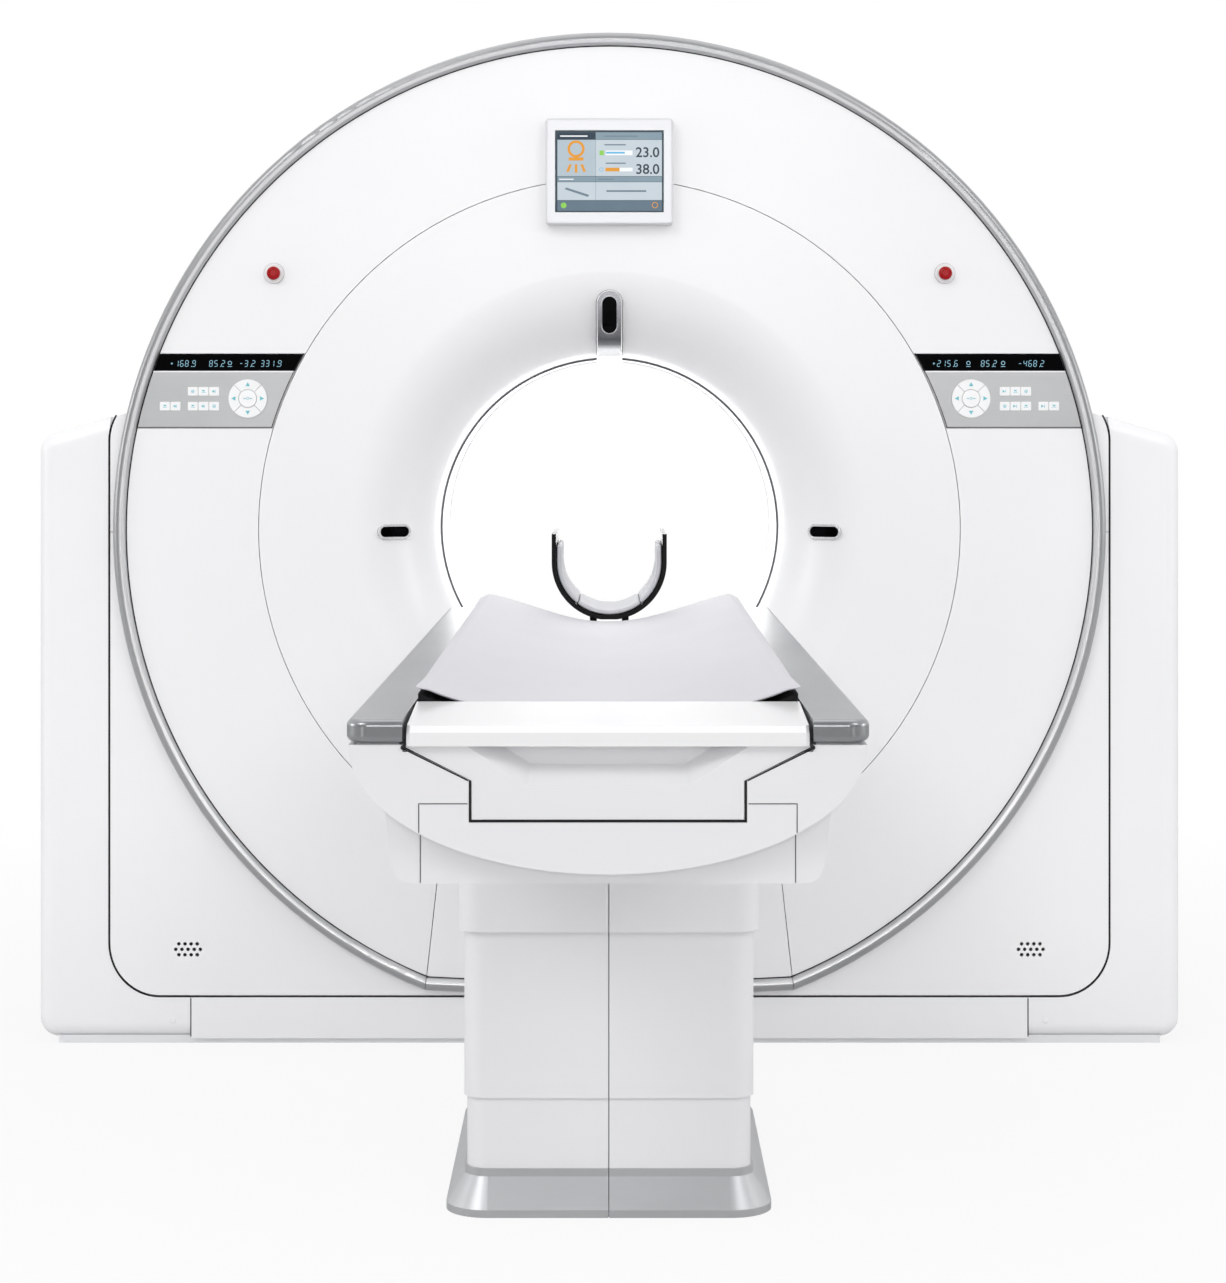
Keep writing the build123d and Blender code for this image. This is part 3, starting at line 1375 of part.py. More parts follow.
def end_piece():
    """White cap over the cradle's front end: sloping top and rounded edges."""
    points = [(front_y, cap_low_z), (cradle_front_y, cap_low_z), (cradle_front_y, cap_back_z),
              (front_y + cap_slope_l, cap_face_z + 1), (front_y, cap_face_z - cap_slope_h)]
    section = make_face(Polyline(*points, close=True))
    cap = along_x(section, -cap_x, cap_x)
    sides = cap.edges().filter_by(
        lambda e: abs(e.center().X) > cap_x - 1 and e.center().Y < front_y + cap_slope_l + 1)
    return chamfer(sides, cap_chamfer)


def carriage():
    """Sliding carriage under the front end, with the hand grip recess in its face."""
    y0 = front_y + carriage_set
    y1 = y0 + carriage_l
    body = along_y(keel_outline(keel_gap), y0, y1)
    recess = make_face(Polyline((-grip_top_x, hull_z), (grip_top_x, hull_z), (grip_low_x, grip_low_z),
                                (-grip_low_x, grip_low_z), close=True))
    scoop = loft([Plane(origin=(0, y0 - 1, 0), x_dir=(1, 0, 0), z_dir=(0, -1, 0)) * recess,
                  Plane(origin=(0, y0 + grip_depth, 0), x_dir=(1, 0, 0), z_dir=(0, -1, 0))
                  * (Pos(0, grip_floor_rise) * offset(recess, -grip_taper, kind=Kind.INTERSECTION))])
    x, floor_z = keel_x - carriage_wall, keel_z + carriage_floor
    body -= scoop
    body -= block(-x, x, y0 + carriage_face_t, y1 + 1, floor_z, cradle_low_z - carriage_top_in)
    cradle_low = trough(cradle_low_z - air, cradle_low_edge_z - air, cradle_edge_z, cradle_edge_z + cradle_t,
                        rail_in_x - 1)
    body -= along_y(cradle_low, cradle_front_y, y1 + 1)
    w = rail_guide_w / 2 + sleeve_fit
    for x in (-rail_guide_x, rail_guide_x):
        runner = block(x - w - runner_w, x + w + runner_w, y0 + runner_front_in, y1 - runner_back_in,
                       beam_top_z + sleeve_fit, floor_z)
        body += runner - block(x - w, x + w, y0, y1, beam_top_z, keel_z + keel_gap)
    return body


def holder_outline(inset):
    """U outline of the head holder in x and z: straight arms, round below, flat bottom."""
    r = holder_r - inset
    low = holder_mid_z - holder_r + inset
    shape = disc(r, 0, holder_mid_z) + Pos(0, holder_mid_z + holder_r) * Rectangle(2 * r, 2 * holder_r)
    flat = Pos(0, low + 1 + far / 2) * Rectangle(3 * holder_r, far)
    return shape & flat


def head_holder():
    """Carbon head holder: a U trough on a tongue that sits in the cradle's socket."""
    cut = Pos(0, holder_top_z - far / 2) * Rectangle(3 * holder_r, far)
    trough_u = along_y((holder_outline(0) - holder_outline(holder_t)) & cut, holder_front_y, holder_back_y)
    low, tongue_top = holder_mid_z - holder_r, tongue_low_z + tongue_t
    y1, half = holder_back_y - tongue_end_in, tongue_rib_t / 2
    tongue = block(-tongue_x, tongue_x, cradle_back_y - tongue_l, y1, tongue_low_z, tongue_top)
    for x in (tongue_rib_t - tongue_x, tongue_x - tongue_rib_t):
        tongue += block(x - half, x + half, cradle_back_y + rib_set, y1, tongue_top, low + holder_t / 2)
    return trough_u + tongue


def head_pads():
    """Three foam pads inside the head holder."""
    inner = holder_outline(holder_t + air) - holder_outline(holder_t + air + holder_pad_t)
    inner = inner & (Pos(0, holder_top_z - holder_pad_low - far / 2) * Rectangle(3 * holder_r, far))
    pads = along_y(inner, holder_front_y + holder_pad_in, holder_back_y - holder_pad_in)
    half = holder_seam_w / 2
    for turn in (-holder_seam_turn, holder_seam_turn):
        slit = block(-half, half, holder_front_y, holder_back_y, holder_mid_z - 2 * holder_r, holder_mid_z)
        pads -= slit.rotate(Axis((0, 0, holder_mid_z), (0, 1, 0)), turn)
    return pads


def build():
    """All nodes by name."""
    shell = gantry_shell()
    blank = panel_blank()
    funnel = front_funnel()
    ring_main, ring_low = trim_ring()
    nodes = {
        "gantry_base_frame": base_frame(),
        "tilt_bearings": tilt_bearings(),
        "tilt_gearmotor": tilt_gearmotor(),
        "tower_cover_right": tower_cover(),
        "base_covers": base_covers(),
        "table_base": table_base(),
        "base_skirt": base_skirt(),
        "lower_sleeve": sleeve(lower_w, lower_low_z, lower_top_z, lower_t),
        "gantry_frame": gantry_frame(),
        "bearing_race": bearing_race(),
        "drive_motor": drive_motor(),
        "drive_belt": drive_belt(),
        "brush_block": brush_block(),
        "upper_shell": upper_shell(shell),
        "lower_shell": lower_shell(shell),
        "trim_ring": Compound([*ring_main.solids(), *ring_low.solids()]),
        "front_panel": front_panel(blank),
        "lower_front_panel": blank & seam_wedge(seam_gap / 2),
        "front_funnel": funnel,
        "scan_window": scan_window(),
        "rear_cover": Compound([rear_cover().solid(), rear_funnel().solid()]),
        "control_plates": pair(control_plate()),
        "readout_glasses": pair(readout_glass()),
        "monitor_housing": monitor_housing(),
        "monitor_screen": monitor_screen(),
        "optics_housings": Compound([sensor_housing(funnel).solid(), *laser_bezels(funnel).solids()]),
        "optics_windows": Compound([sensor_window().solid(), *laser_glasses().solids()]),
        "rotor_drum": rotor_drum(),
        "slip_ring": slip_ring(),
        "xray_tube": xray_tube() + collimator(),
        "detector": detector(),
        "hv_generator": rotor_box(hv_turn, hv_l, 0),
        "tube_cooler": rotor_box(cooler_turn, cooler_l, cooler_fins),
        "motor_pulley": motor_pulley(),
        "saddle_frame": saddle_frame(),
        "upper_sleeve": sleeve(upper_w, upper_low_z, belly_low_z, (upper_w - middle_w) / 2 - sleeve_fit),
        "belly_cover": belly_cover(),
        "table_hull": table_hull(),
        "side_rails": pair(side_rail()),
        "support_roller": support_roller(),
        "middle_stage": middle_stage(),
        "cradle": cradle(),
        "end_piece": end_piece(),
        "carriage": carriage(),
        "mattress": mattress(),
        "head_holder": head_holder(),
        "head_pads": head_pads(),
    }
    nodes["tower_cover_left"] = mirrored(nodes["tower_cover_right"])
    for side, flip in (("right", False), ("left", True)):
        keys = {f"dial_key_{name}_{side}": dial_key(turn)
                for name, turn in (("up", 0), ("inner", 90), ("down", 180), ("outer", 270))}
        keys[f"dial_centre_{side}"] = dial_centre()
        keys[f"estop_{side}"] = estop()
        for name, key in keys.items():
            nodes[name] = mirrored(key) if flip else key
    return nodes


os.makedirs("parts", exist_ok=True)
for name, shape in build().items():
    export_step(shape, f"parts/{name}.step")
    print(name, len(shape.solids()), round(shape.volume))
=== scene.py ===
# %% [markdown]
# # A CT scanner for a hospital
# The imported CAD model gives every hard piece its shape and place, in metres. This lesson adds the
# finishes, the soft pieces, the small printed marks, the lamps and the camera. Nothing from the CAD model
# is moved.

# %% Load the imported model
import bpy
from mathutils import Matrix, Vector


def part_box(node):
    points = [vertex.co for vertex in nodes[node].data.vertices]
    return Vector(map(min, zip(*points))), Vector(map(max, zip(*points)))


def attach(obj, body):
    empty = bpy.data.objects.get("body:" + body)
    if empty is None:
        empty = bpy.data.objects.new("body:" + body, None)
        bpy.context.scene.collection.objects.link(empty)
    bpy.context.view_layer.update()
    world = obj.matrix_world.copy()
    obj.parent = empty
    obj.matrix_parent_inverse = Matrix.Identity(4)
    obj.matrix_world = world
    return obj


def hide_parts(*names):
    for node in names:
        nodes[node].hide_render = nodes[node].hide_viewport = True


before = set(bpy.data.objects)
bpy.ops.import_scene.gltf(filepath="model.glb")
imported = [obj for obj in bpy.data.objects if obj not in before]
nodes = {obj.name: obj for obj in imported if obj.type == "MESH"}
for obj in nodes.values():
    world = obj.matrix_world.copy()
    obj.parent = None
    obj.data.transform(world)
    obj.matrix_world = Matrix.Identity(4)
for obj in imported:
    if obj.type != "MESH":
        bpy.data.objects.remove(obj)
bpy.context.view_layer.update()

# %% Modules and the sizes that the added pieces share with the model
import math

import bmesh
import bpy
import numpy as np

MM = 0.001
ISO_Z = 1.040  # height of the bore's axis
FACE_Y = -0.320  # front plane of the gantry's panels
RING_R, RING_W = 1.002, 0.026  # outer radius and width of the silver ring
FLAT_R, FLAT_Z = 6.856, 6.9555  # its flatter arc between the low seams: radius and height of the middle
DIAL_X, DIAL_Z = 0.7296, 1.3036  # middle of the right dial
STOP_X, STOP_Z = 0.6769, 1.5560  # middle of the right stop button
SIDES = (("right", 1), ("left", -1))
print("CAD nodes seen by name:", len(nodes))

# %% [markdown]
# ## Small helpers
# A colour is written as the sRGB hex that a paint card shows and turned to linear light in one place. One
# function adds a node with its settings and links, so that a material reads as a list of what it is made
# of.

# %% Colour and node helpers


def linear(code):
    """sRGB hex to linear RGBA: a channel c becomes ((c + 0.055) / 1.055) ** 2.4, or c / 12.92 when dark."""
    c = np.array([int(code[i:i + 2], 16) for i in (1, 3, 5)]) / 255
    low, high = c / 12.92, ((c + 0.055) / 1.055) ** 2.4
    return (*np.where(c <= 0.04045, low, high).tolist(), 1.0)


def add(tree, kind, sockets=None, **settings):
    """Adds a node: settings are its attributes, sockets are inputs by name or number with a value or a link.

    A link is another node's output, or the node itself where its first output is meant.
    """
    node = tree.nodes.new("ShaderNode" + kind)
    for key, value in settings.items():
        setattr(node, key, value)
    for key, value in (sockets or {}).items():
        if isinstance(value, bpy.types.Node):
            value = value.outputs[0]
        if isinstance(value, bpy.types.NodeSocket):
            tree.links.new(value, node.inputs[key])
        else:
            node.inputs[key].default_value = value
    return node


def blank(name, rough, metal=0.0, **fixed):
    """A new material with its Principled shader and Object coordinates."""
    material = bpy.data.materials.new(name)
    material.use_nodes = True
    tree = material.node_tree
    shader = tree.nodes["Principled BSDF"]
    shader.inputs["Roughness"].default_value = rough
    shader.inputs["Metallic"].default_value = metal
    for key, value in fixed.items():
        shader.inputs[key.replace("_", " ")].default_value = value
    place = add(tree, "TexCoord").outputs["Object"]
    return material, tree, shader, place


def two_tone(tree, shader, factor, first, second):
    """Base colour that runs from the first to the second colour with a factor from 0 to 1."""
    mix = add(tree, "Mix", {0: factor, 6: linear(first), 7: linear(second)}, data_type="RGBA")
    tree.links.new(mix.outputs[2], shader.inputs["Base Color"])


def rough_and_bump(tree, shader, height, low, high, depth):
    """Roughness from low to high and a bump of that depth in metres, both from one height pattern."""
    rough = add(tree, "MapRange", {"Value": height, "To Min": low, "To Max": high})
    bump = add(tree, "Bump", {"Height": height, "Strength": 1.0, "Distance": depth})
    tree.links.new(rough.outputs[0], shader.inputs["Roughness"])
    tree.links.new(bump.outputs[0], shader.inputs["Normal"])


def noise(tree, place, size, detail=2.0, stretch=(1.0, 1.0, 1.0)):
    """Noise with features of that size in metres, stretched along the axes."""
    scale = tuple(1 / (size * s) for s in stretch)
    where = add(tree, "Mapping", {"Vector": place, "Scale": scale})
    return add(tree, "TexNoise", {"Vector": where, "Scale": 1.0, "Detail": detail})


def from_axis(tree, place, height):
    """Distance from a line along Y at that height: the length of (x, z - height)."""
    part = add(tree, "SeparateXYZ", {0: place}).outputs
    up = add(tree, "Math", {0: part[2], 1: height}, operation="SUBTRACT")
    flat = add(tree, "CombineXYZ", {0: part[0], 1: up})
    return add(tree, "VectorMath", {0: flat}, operation="LENGTH").outputs["Value"]


def waves(tree, length, pitch):
    """0.5 + 0.5 sin(2 pi length / pitch): up and down once per pitch."""
    for operation, second, third in (("MULTIPLY", 2 * math.pi / pitch, 0), ("SINE", 0, 0),
                                     ("MULTIPLY_ADD", 0.5, 0.5)):
        length = add(tree, "Math", {0: length, 1: second, 2: third}, operation=operation)
    return length


print("white paint in linear light:", linear("#F2F2F4")[:3])

# %% [markdown]
# ## White covers
# The big covers are vacuum-formed or moulded shells with a two-pack satin paint. What the eye gets is a
# soft, wide highlight, a very faint orange peel about 2 mm across, and hardly any colour.

# %% Two-pack satin paint


def satin_paint(name, first, second, low, high):
    """Satin paint: slow colour drift over 0.6 m and an orange peel of 2 mm, 4 micrometres deep."""
    material, tree, shader, place = blank(name, 0.4, Coat_Weight=0.25, Coat_Roughness=0.18)
    two_tone(tree, shader, noise(tree, place, 0.6), first, second)
    rough_and_bump(tree, shader, noise(tree, place, 0.002), low, high, 4e-6)
    return material


white_paint = satin_paint("two_pack_satin_white_paint", "#EEEEF0", "#F4F4F5", 0.36, 0.44)
table_paint = satin_paint("two_pack_satin_table_white", "#E7E7E9", "#ECECEE", 0.36, 0.44)
end_paint = satin_paint("gloss_white_moulded_cap", "#EEEEEF", "#F3F3F4", 0.22, 0.28)
print("paints:", white_paint.name, end_paint.name)

# %% [markdown]
# ## Silver ring and trims
# The ring is a moulded part with a metallic lacquer: tiny aluminium flakes under a clear coat. The flakes
# are too fine to show, so they are drawn 0.8 mm across. The colour holds a painted highlight along the ring's
# crown and painted shade beside it, and bands of painted reflection up the housing over the bore.

# %% Metallic lacquer


def lacquer(name, first, second, metal, low, high):
    """Metallic lacquer: flakes of 0.8 mm change the tone and the roughness a little."""
    material, tree, shader, place = blank(name, 0.3, metal, Coat_Weight=0.5, Coat_Roughness=0.12)
    flakes = noise(tree, place, 0.0008, 1.0)
    two_tone(tree, shader, flakes, first, second)
    rough_and_bump(tree, shader, flakes, low, high, 2e-6)
    return material


def lacquer_with_painted_light(name, factor_of, stops, metal, low, high):
    """Lacquer with painted light and shade: a ramp of (place from 0 to 1, colour) over one measured length.
    """
    material, tree, shader, place = blank(name, 0.3, metal, Coat_Weight=0.3, Coat_Roughness=0.30)
    ramp = add(tree, "ValToRGB", {0: factor_of(tree, place)})
    bar = ramp.color_ramp.elements
    bar.remove(bar[1])
    bar[0].position, bar[0].color = stops[0][0], linear(stops[0][1])
    for spot, code in stops[1:]:
        bar.new(spot).color = linear(code)
    tree.links.new(ramp.outputs[0], shader.inputs["Base Color"])
    rough_and_bump(tree, shader, noise(tree, place, 0.0008, 1.0), low, high, 2e-6)
    return material


def across_ring(tree, place):
    """0 at the ring's inner edge and 1 at its outer edge, on the round part and on the flat arc."""
    across = [add(tree, "MapRange", {"Value": from_axis(tree, place, middle), "From Min": outer - RING_W,
                                     "From Max": outer})
              for middle, outer in ((ISO_Z, RING_R), (FLAT_Z, FLAT_R))]
    return add(tree, "Math", dict(enumerate(across)), operation="MAXIMUM")


def up_housing(tree, place):
    """0 at the low end of the housing over the bore and 1 at its top."""
    height = add(tree, "SeparateXYZ", {0: place}).outputs[2]
    return add(tree, "MapRange", {"Value": height, "From Min": 1.380, "From Max": 1.522})


# Painted highlight in the colour: a white band along the ring's crown, with painted shade on each side of it.
ring_lacquer_painted_highlight = lacquer_with_painted_light("silver_lacquer_painted_highlight", across_ring, [
    (0.0, "#B4B5B7"), (0.17, "#C9CACC"), (0.24, "#F6F6F7"), (0.38, "#F6F6F7"), (0.48, "#A8A9AB"),
    (0.86, "#A3A4A6"), (1.0, "#B8B9BB")], 0.7, 0.30, 0.36)
pale_lacquer = lacquer("pale_silver_lacquer", "#D2D3D6", "#DADBDE", 0.15, 0.30, 0.38)
# Painted reflection in the colour: a light lip low down, a dark band just above it, lighter towards the top.
optics_lacquer_painted_reflection = lacquer_with_painted_light("satin_silver_lacquer_painted_reflection", up_housing, [
    (0.0, "#F4F4F5"), (0.17, "#F0F0F1"), (0.24, "#77787B"), (0.31, "#515255"), (0.42, "#838487"),
    (0.62, "#B4B5B8"), (1.0, "#D4D5D7")], 0.7, 0.24, 0.32)
rim_metal = lacquer("polished_silver_rim", "#E6E7E8", "#F0F1F2", 0.5, 0.16, 0.22)
print("lacquers:", ring_lacquer_painted_highlight.name, pale_lacquer.name)

# %% [markdown]
# ## Brushed and machined metals
# The table's rails are anodised aluminium extrusions, brushed along their length: the scratches are long
# along Y and fine across it. The control plates are brushed across. Machined rings inside the gantry
# carry the turning marks of the lathe, which are circles round the bore's axis.

# %% Brushed metal


def brushed(name, first, second, stretch, low, high):
    """Brushed metal: noise of 0.5 mm drawn out along the brushing direction."""
    material, tree, shader, place = blank(name, 0.3, 1.0)
    lines = noise(tree, place, 0.0005, 3.0, stretch)
    broad = noise(tree, place, 0.09, 2.0, tuple(max(1.0, s / 40) for s in stretch))
    tone = add(tree, "Math", {0: lines, 1: 0.55, 2: broad}, operation="MULTIPLY_ADD")
    factor = add(tree, "Math", {0: tone, 1: 0.8}, operation="MULTIPLY")
    two_tone(tree, shader, factor, first, second)
    rough_and_bump(tree, shader, lines, low, high, 5e-6)
    return material


rail_metal = brushed("brushed_anodised_aluminium", "#85878A", "#A6A8AA", (1, 160, 1), 0.24, 0.36)
# Also used for the rings of painted shade round the stop buttons' collars.
skirt_metal_and_shade = brushed("brushed_skirt_aluminium_and_painted_shade", "#B4B6B8", "#C8C9CB", (120, 120, 1), 0.36, 0.46)
plate_metal = brushed("brushed_control_plate", "#BABBBC", "#CFD0D1", (140, 1, 1), 0.34, 0.46)
print("brushed metals made: 3")

# %% Turned and cast metals


def turned(name, first, second, pitch):
    """Turning marks: a sine of the distance from the bore's axis, one wave per pitch."""
    material, tree, shader, place = blank(name, 0.3, 1.0)
    marks = waves(tree, from_axis(tree, place, ISO_Z), pitch)
    two_tone(tree, shader, marks, first, second)
    rough_and_bump(tree, shader, marks, 0.22, 0.34, 6e-6)
    return material


def grainy(name, first, second, size, metal, low, high, depth, **fixed):
    """A surface whose look is one grain: cast skin, powder coat, moulded plastic or rubber."""
    material, tree, shader, place = blank(name, 0.5, metal, **fixed)
    grain = noise(tree, place, size, 3.0)
    two_tone(tree, shader, grain, first, second)
    rough_and_bump(tree, shader, grain, low, high, depth)
    return material


turned_steel = turned("turned_bearing_steel", "#A7A9AC", "#BFC1C4", 0.0016)
# Sand-cast aluminium: a pebbled skin of about 1.5 mm, dull between the machined faces.
cast_metal = grainy("sand_cast_aluminium", "#8F9194", "#A9ABAE", 0.0015, 0.9, 0.42, 0.60, 4e-5)
# Powder coat on steel: an even, slightly pebbled film.
pale_coat = grainy("pale_powder_coat", "#E0E2E4", "#E9EAEC", 0.0011, 0.0, 0.46, 0.58, 2e-5)
powder_coat = grainy("grey_powder_coat", "#6C7076", "#7A7E84", 0.0011, 0.0, 0.46, 0.58, 2e-5)
bronze = grainy("sintered_bearing_bronze", "#8C6A3A", "#A98349", 0.0007, 1.0, 0.30, 0.44, 1e-5)
print("inner metals made: 5")

# %% [markdown]
# ## Plastics, glass and rubber
# Black acrylic covers the read-outs and the eyes of the optics: smooth and very dark. Keys are moulded in
# pale plastic, the stop buttons in glossy red. The belt is ribbed rubber with a rib every 3.56 mm.

# %% Plastics and rubber
black_acrylic = grainy("black_acrylic", "#020203", "#040405", 0.02, 0.0, 0.05, 0.10, 1e-7,
                       Specular_IOR_Level=0.08)
key_plastic = grainy("satin_key_plastic", "#F2F3F4", "#F8F8F9", 0.0006, 0.0, 0.32, 0.42, 4e-6)
red_plastic = grainy("gloss_red_plastic", "#960008", "#A4020C", 0.004, 0.0, 0.16, 0.22, 1e-6,
                     Specular_IOR_Level=0.25)
liner_plastic = grainy("satin_bore_liner", "#F1F2F3", "#F7F8F9", 0.0012, 0.0, 0.30, 0.40, 4e-6)
roller_rubber = grainy("grey_polyurethane", "#2A2B2D", "#343538", 0.001, 0.0, 0.50, 0.62, 1e-5)
# Also used for strips of painted shade: the line round the housing over the bore and, partly, the line in the
# silver ring's groove.
dark_rubber_and_shade = grainy("black_seal_rubber_and_painted_shade", "#060606", "#0C0C0C", 0.001, 0.0, 0.60, 0.72, 1e-5)
red_print = grainy("red_button_print", "#B8302F", "#C23A38", 0.0008, 0.0, 0.40, 0.50, 1e-6)
cyan_print = grainy("cyan_key_print", "#5FB8C4", "#74C6D0", 0.0008, 0.0, 0.40, 0.50, 1e-6)


def ribbed(name, first, second, pitch):
    """Belt rubber: ribs along the belt, a sine of the place along Y."""
    material, tree, shader, place = blank(name, 0.6)
    ribs = waves(tree, add(tree, "SeparateXYZ", {0: place}).outputs[1], pitch)
    two_tone(tree, shader, ribs, first, second)
    rough_and_bump(tree, shader, ribs, 0.50, 0.66, 8e-4)
    return material


belt_rubber = ribbed("ribbed_belt_rubber", "#080808", "#1A1A1A", 0.00356)
print("plastics and rubbers made: 9")

# %% [markdown]
# ## Carbon fibre
# Cradle and head holder are carbon laminate with a matt resin: a two-by-two twill whose bundles are 2 mm
# wide. The pattern adds the bundle's number along Y to the place along X, and takes every other pair of
# four.

# %% Twill weave


def twill(name, first, second, tow):
    """Twill: the fraction of (x / tow + whole part of y / tow) / 4, cut at one half."""
    material, tree, shader, place = blank(name, 0.3, Coat_Weight=0.05, Coat_Roughness=0.15,
                                          Specular_IOR_Level=0.15)
    over, row = add(tree, "SeparateXYZ", {0: place}).outputs[:2]
    for operation, term in (("MULTIPLY", 1 / tow), ("FLOOR", 0.0)):
        row = add(tree, "Math", {0: row, 1: term}, operation=operation)
    for operation, term in (("MULTIPLY", 1 / tow), ("ADD", row), ("MULTIPLY", 0.25), ("FRACT", 0.0),
                            ("GREATER_THAN", 0.5)):
        over = add(tree, "Math", {0: over, 1: term}, operation=operation)
    two_tone(tree, shader, over, first, second)
    rough_and_bump(tree, shader, over, 0.38, 0.52, 2e-5)
    return material


tow_width = 0.002
carbon = twill("carbon_twill_laminate", "#040405", "#0E0F10", tow_width)
print("carbon tow width in mm:", tow_width / MM)

# %% [markdown]
# ## Coated fabric
# The mattress and the head pads have a polyurethane-coated knit: matt, wipeable, with a fine leather-like
# grain of about 1 mm, drawn at 1.6 mm so that it shows, and a soft sheen at grazing angles.

# %% Coated knit


def coated_knit(name, first, second):
    """Cells of 1.6 mm for the grain, and a slow drift of tone over 0.3 m."""
    material, tree, shader, place = blank(name, 0.6, Sheen_Weight=0.25, Sheen_Roughness=0.5)
    cells = add(tree, "TexVoronoi", {"Vector": place, "Scale": 1 / 0.0016})
    two_tone(tree, shader, noise(tree, place, 0.3), first, second)
    rough_and_bump(tree, shader, cells.outputs["Distance"], 0.52, 0.68, 8e-5)
    return material


mattress_fabric = coated_knit("coated_knit_lavender_grey", "#C8C7CE", "#D0CFD5")
pad_fabric = coated_knit("coated_knit_light_grey", "#BABBC0", "#C4C5C9")
print("fabrics made: 2")

# %% [markdown]
# ## Lit colours
# The screen and the read-outs give light of their own. Each colour is a nearly black film with emission,
# so that it keeps its tone under the lamps. A slow drift of brightness stands for the backlight.

# %% Backlit colours


def backlit(name, first, second, strength):
    """Backlit film: nearly black in itself, with emission between two close tones."""
    material, tree, shader, place = blank(name, 0.3, Specular_IOR_Level=0.2)
    drift = noise(tree, place, 0.05)
    two_tone(tree, shader, drift, "#101214", "#16181A")
    glow = add(tree, "Mix", {0: drift, 6: linear(first), 7: linear(second)}, data_type="RGBA")
    tree.links.new(glow.outputs[2], shader.inputs["Emission Color"])
    shader.inputs["Emission Strength"].default_value = strength
    return material


shade = {
    "frame": backlit("screen_edge_slate", "#33444F", "#3C4D58", 0.9),
    "header": backlit("screen_dark_header", "#203547", "#293E50", 0.9),
    "band": backlit("screen_slate_band", "#8299A7", "#8DA2AF", 0.95),
    "pane": backlit("screen_pale_pane", "#B4C4CE", "#BDCBD4", 0.95),
    "light": backlit("screen_light_pane", "#C6D2DB", "#CFDAE1", 0.95),
    "low": backlit("screen_low_band", "#5D7282", "#687C8B", 0.95),
    "white": backlit("screen_white", "#F4F8FA", "#FBFDFD", 1.0),
    "ink": backlit("screen_ink", "#2B3945", "#33414D", 0.9),
    "faint": backlit("screen_faint_ink", "#6C7F8D", "#778996", 0.95),
    "blue": backlit("screen_blue_bar", "#5FB4E0", "#6DBDE6", 1.0),
    "orange": backlit("screen_orange", "#E2941C", "#EAA02E", 1.0),
    "green": backlit("screen_green", "#86CC4C", "#94D65C", 1.0),
    "cyan": backlit("readout_cyan", "#8CC4DA", "#A4D2E2", 1.0),
}
print("lit colours:", len(shade))

# %% [markdown]
# ## Finishes for the CAD nodes
# Every node that stays visible takes one of the finishes. Its mesh and its place stay as they are.

# %% Give each node its finish
finish_of = {
    white_paint: """tower_cover_right tower_cover_left base_covers upper_shell lower_shell front_panel
        lower_front_panel front_funnel rear_cover""",
    table_paint: "lower_sleeve middle_stage upper_sleeve belly_cover table_hull carriage",
    end_paint: "end_piece",
    ring_lacquer_painted_highlight: "trim_ring",
    pale_lacquer: "monitor_housing",
    optics_lacquer_painted_reflection: "optics_housings",
    rail_metal: "side_rails",
    skirt_metal_and_shade: "base_skirt",
    plate_metal: "control_plates",
    black_acrylic: "readout_glasses optics_windows",
    liner_plastic: "scan_window",
    turned_steel: "bearing_race slip_ring motor_pulley",
    cast_metal: "rotor_drum detector",
    pale_coat: "gantry_base_frame",
    powder_coat: """gantry_frame tilt_gearmotor drive_motor table_base saddle_frame xray_tube
        hv_generator tube_cooler""",
    bronze: "tilt_bearings",
    belt_rubber: "drive_belt",
    dark_rubber_and_shade: "brush_block",
    roller_rubber: "support_roller",
    carbon: "cradle head_holder",
    mattress_fabric: "mattress",
    pad_fabric: "head_pads",
    shade["frame"]: "monitor_screen",
    red_plastic: "estop_right estop_left",
}
finish_of[key_plastic] = " ".join(n for n in nodes if n.startswith("dial_"))
for material, names in finish_of.items():
    for name in names.split():
        mesh = nodes[name].data
        mesh.materials.clear()
        mesh.materials.append(material)
dressed = {name for names in finish_of.values() for name in names.split()}
print("nodes without a finish:", sorted(set(nodes) - dressed))

# %% [markdown]
# ## Making a piece
# A surface is a grid of points worked out with numpy. One function turns points and faces into an object
# at the origin, gives it its finish and lets it ride on a body of the model.

# %% Piece helpers


def new_object(name, data):
    """An object with that mesh, lamp, text or camera, linked to the scene."""
    obj = bpy.data.objects.new(name, data)
    bpy.context.scene.collection.objects.link(obj)
    return obj


def piece(name, points, faces, material, body, slot, smooth=True, depth=0.0):
    """Points (n, 3) and faces of point numbers become one object; depth gives a flat print a thickness."""
    mesh = bpy.data.meshes.new(name)
    mesh.from_pydata(np.asarray(points).tolist(), [], [list(map(int, f)) for f in faces])
    mesh.materials.append(material)
    mesh.polygons.foreach_set("use_smooth", [smooth] * len(mesh.polygons))
    obj = new_object(name, mesh)
    if depth:
        wall = obj.modifiers.new("thickness", "SOLIDIFY")
        wall.thickness = depth
    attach(obj, body)
    return obj


def grid_faces(rows, columns, wrap=False):
    """Quads between neighbouring points of a grid; wrap joins the last column to the first."""
    i, j = np.meshgrid(np.arange(rows - 1), np.arange(columns if wrap else columns - 1), indexing="ij")
    k = (j + 1) % columns
    near, far = i * columns, (i + 1) * columns
    return np.stack([near + j, far + j, far + k, near + k], -1).reshape(-1, 4)


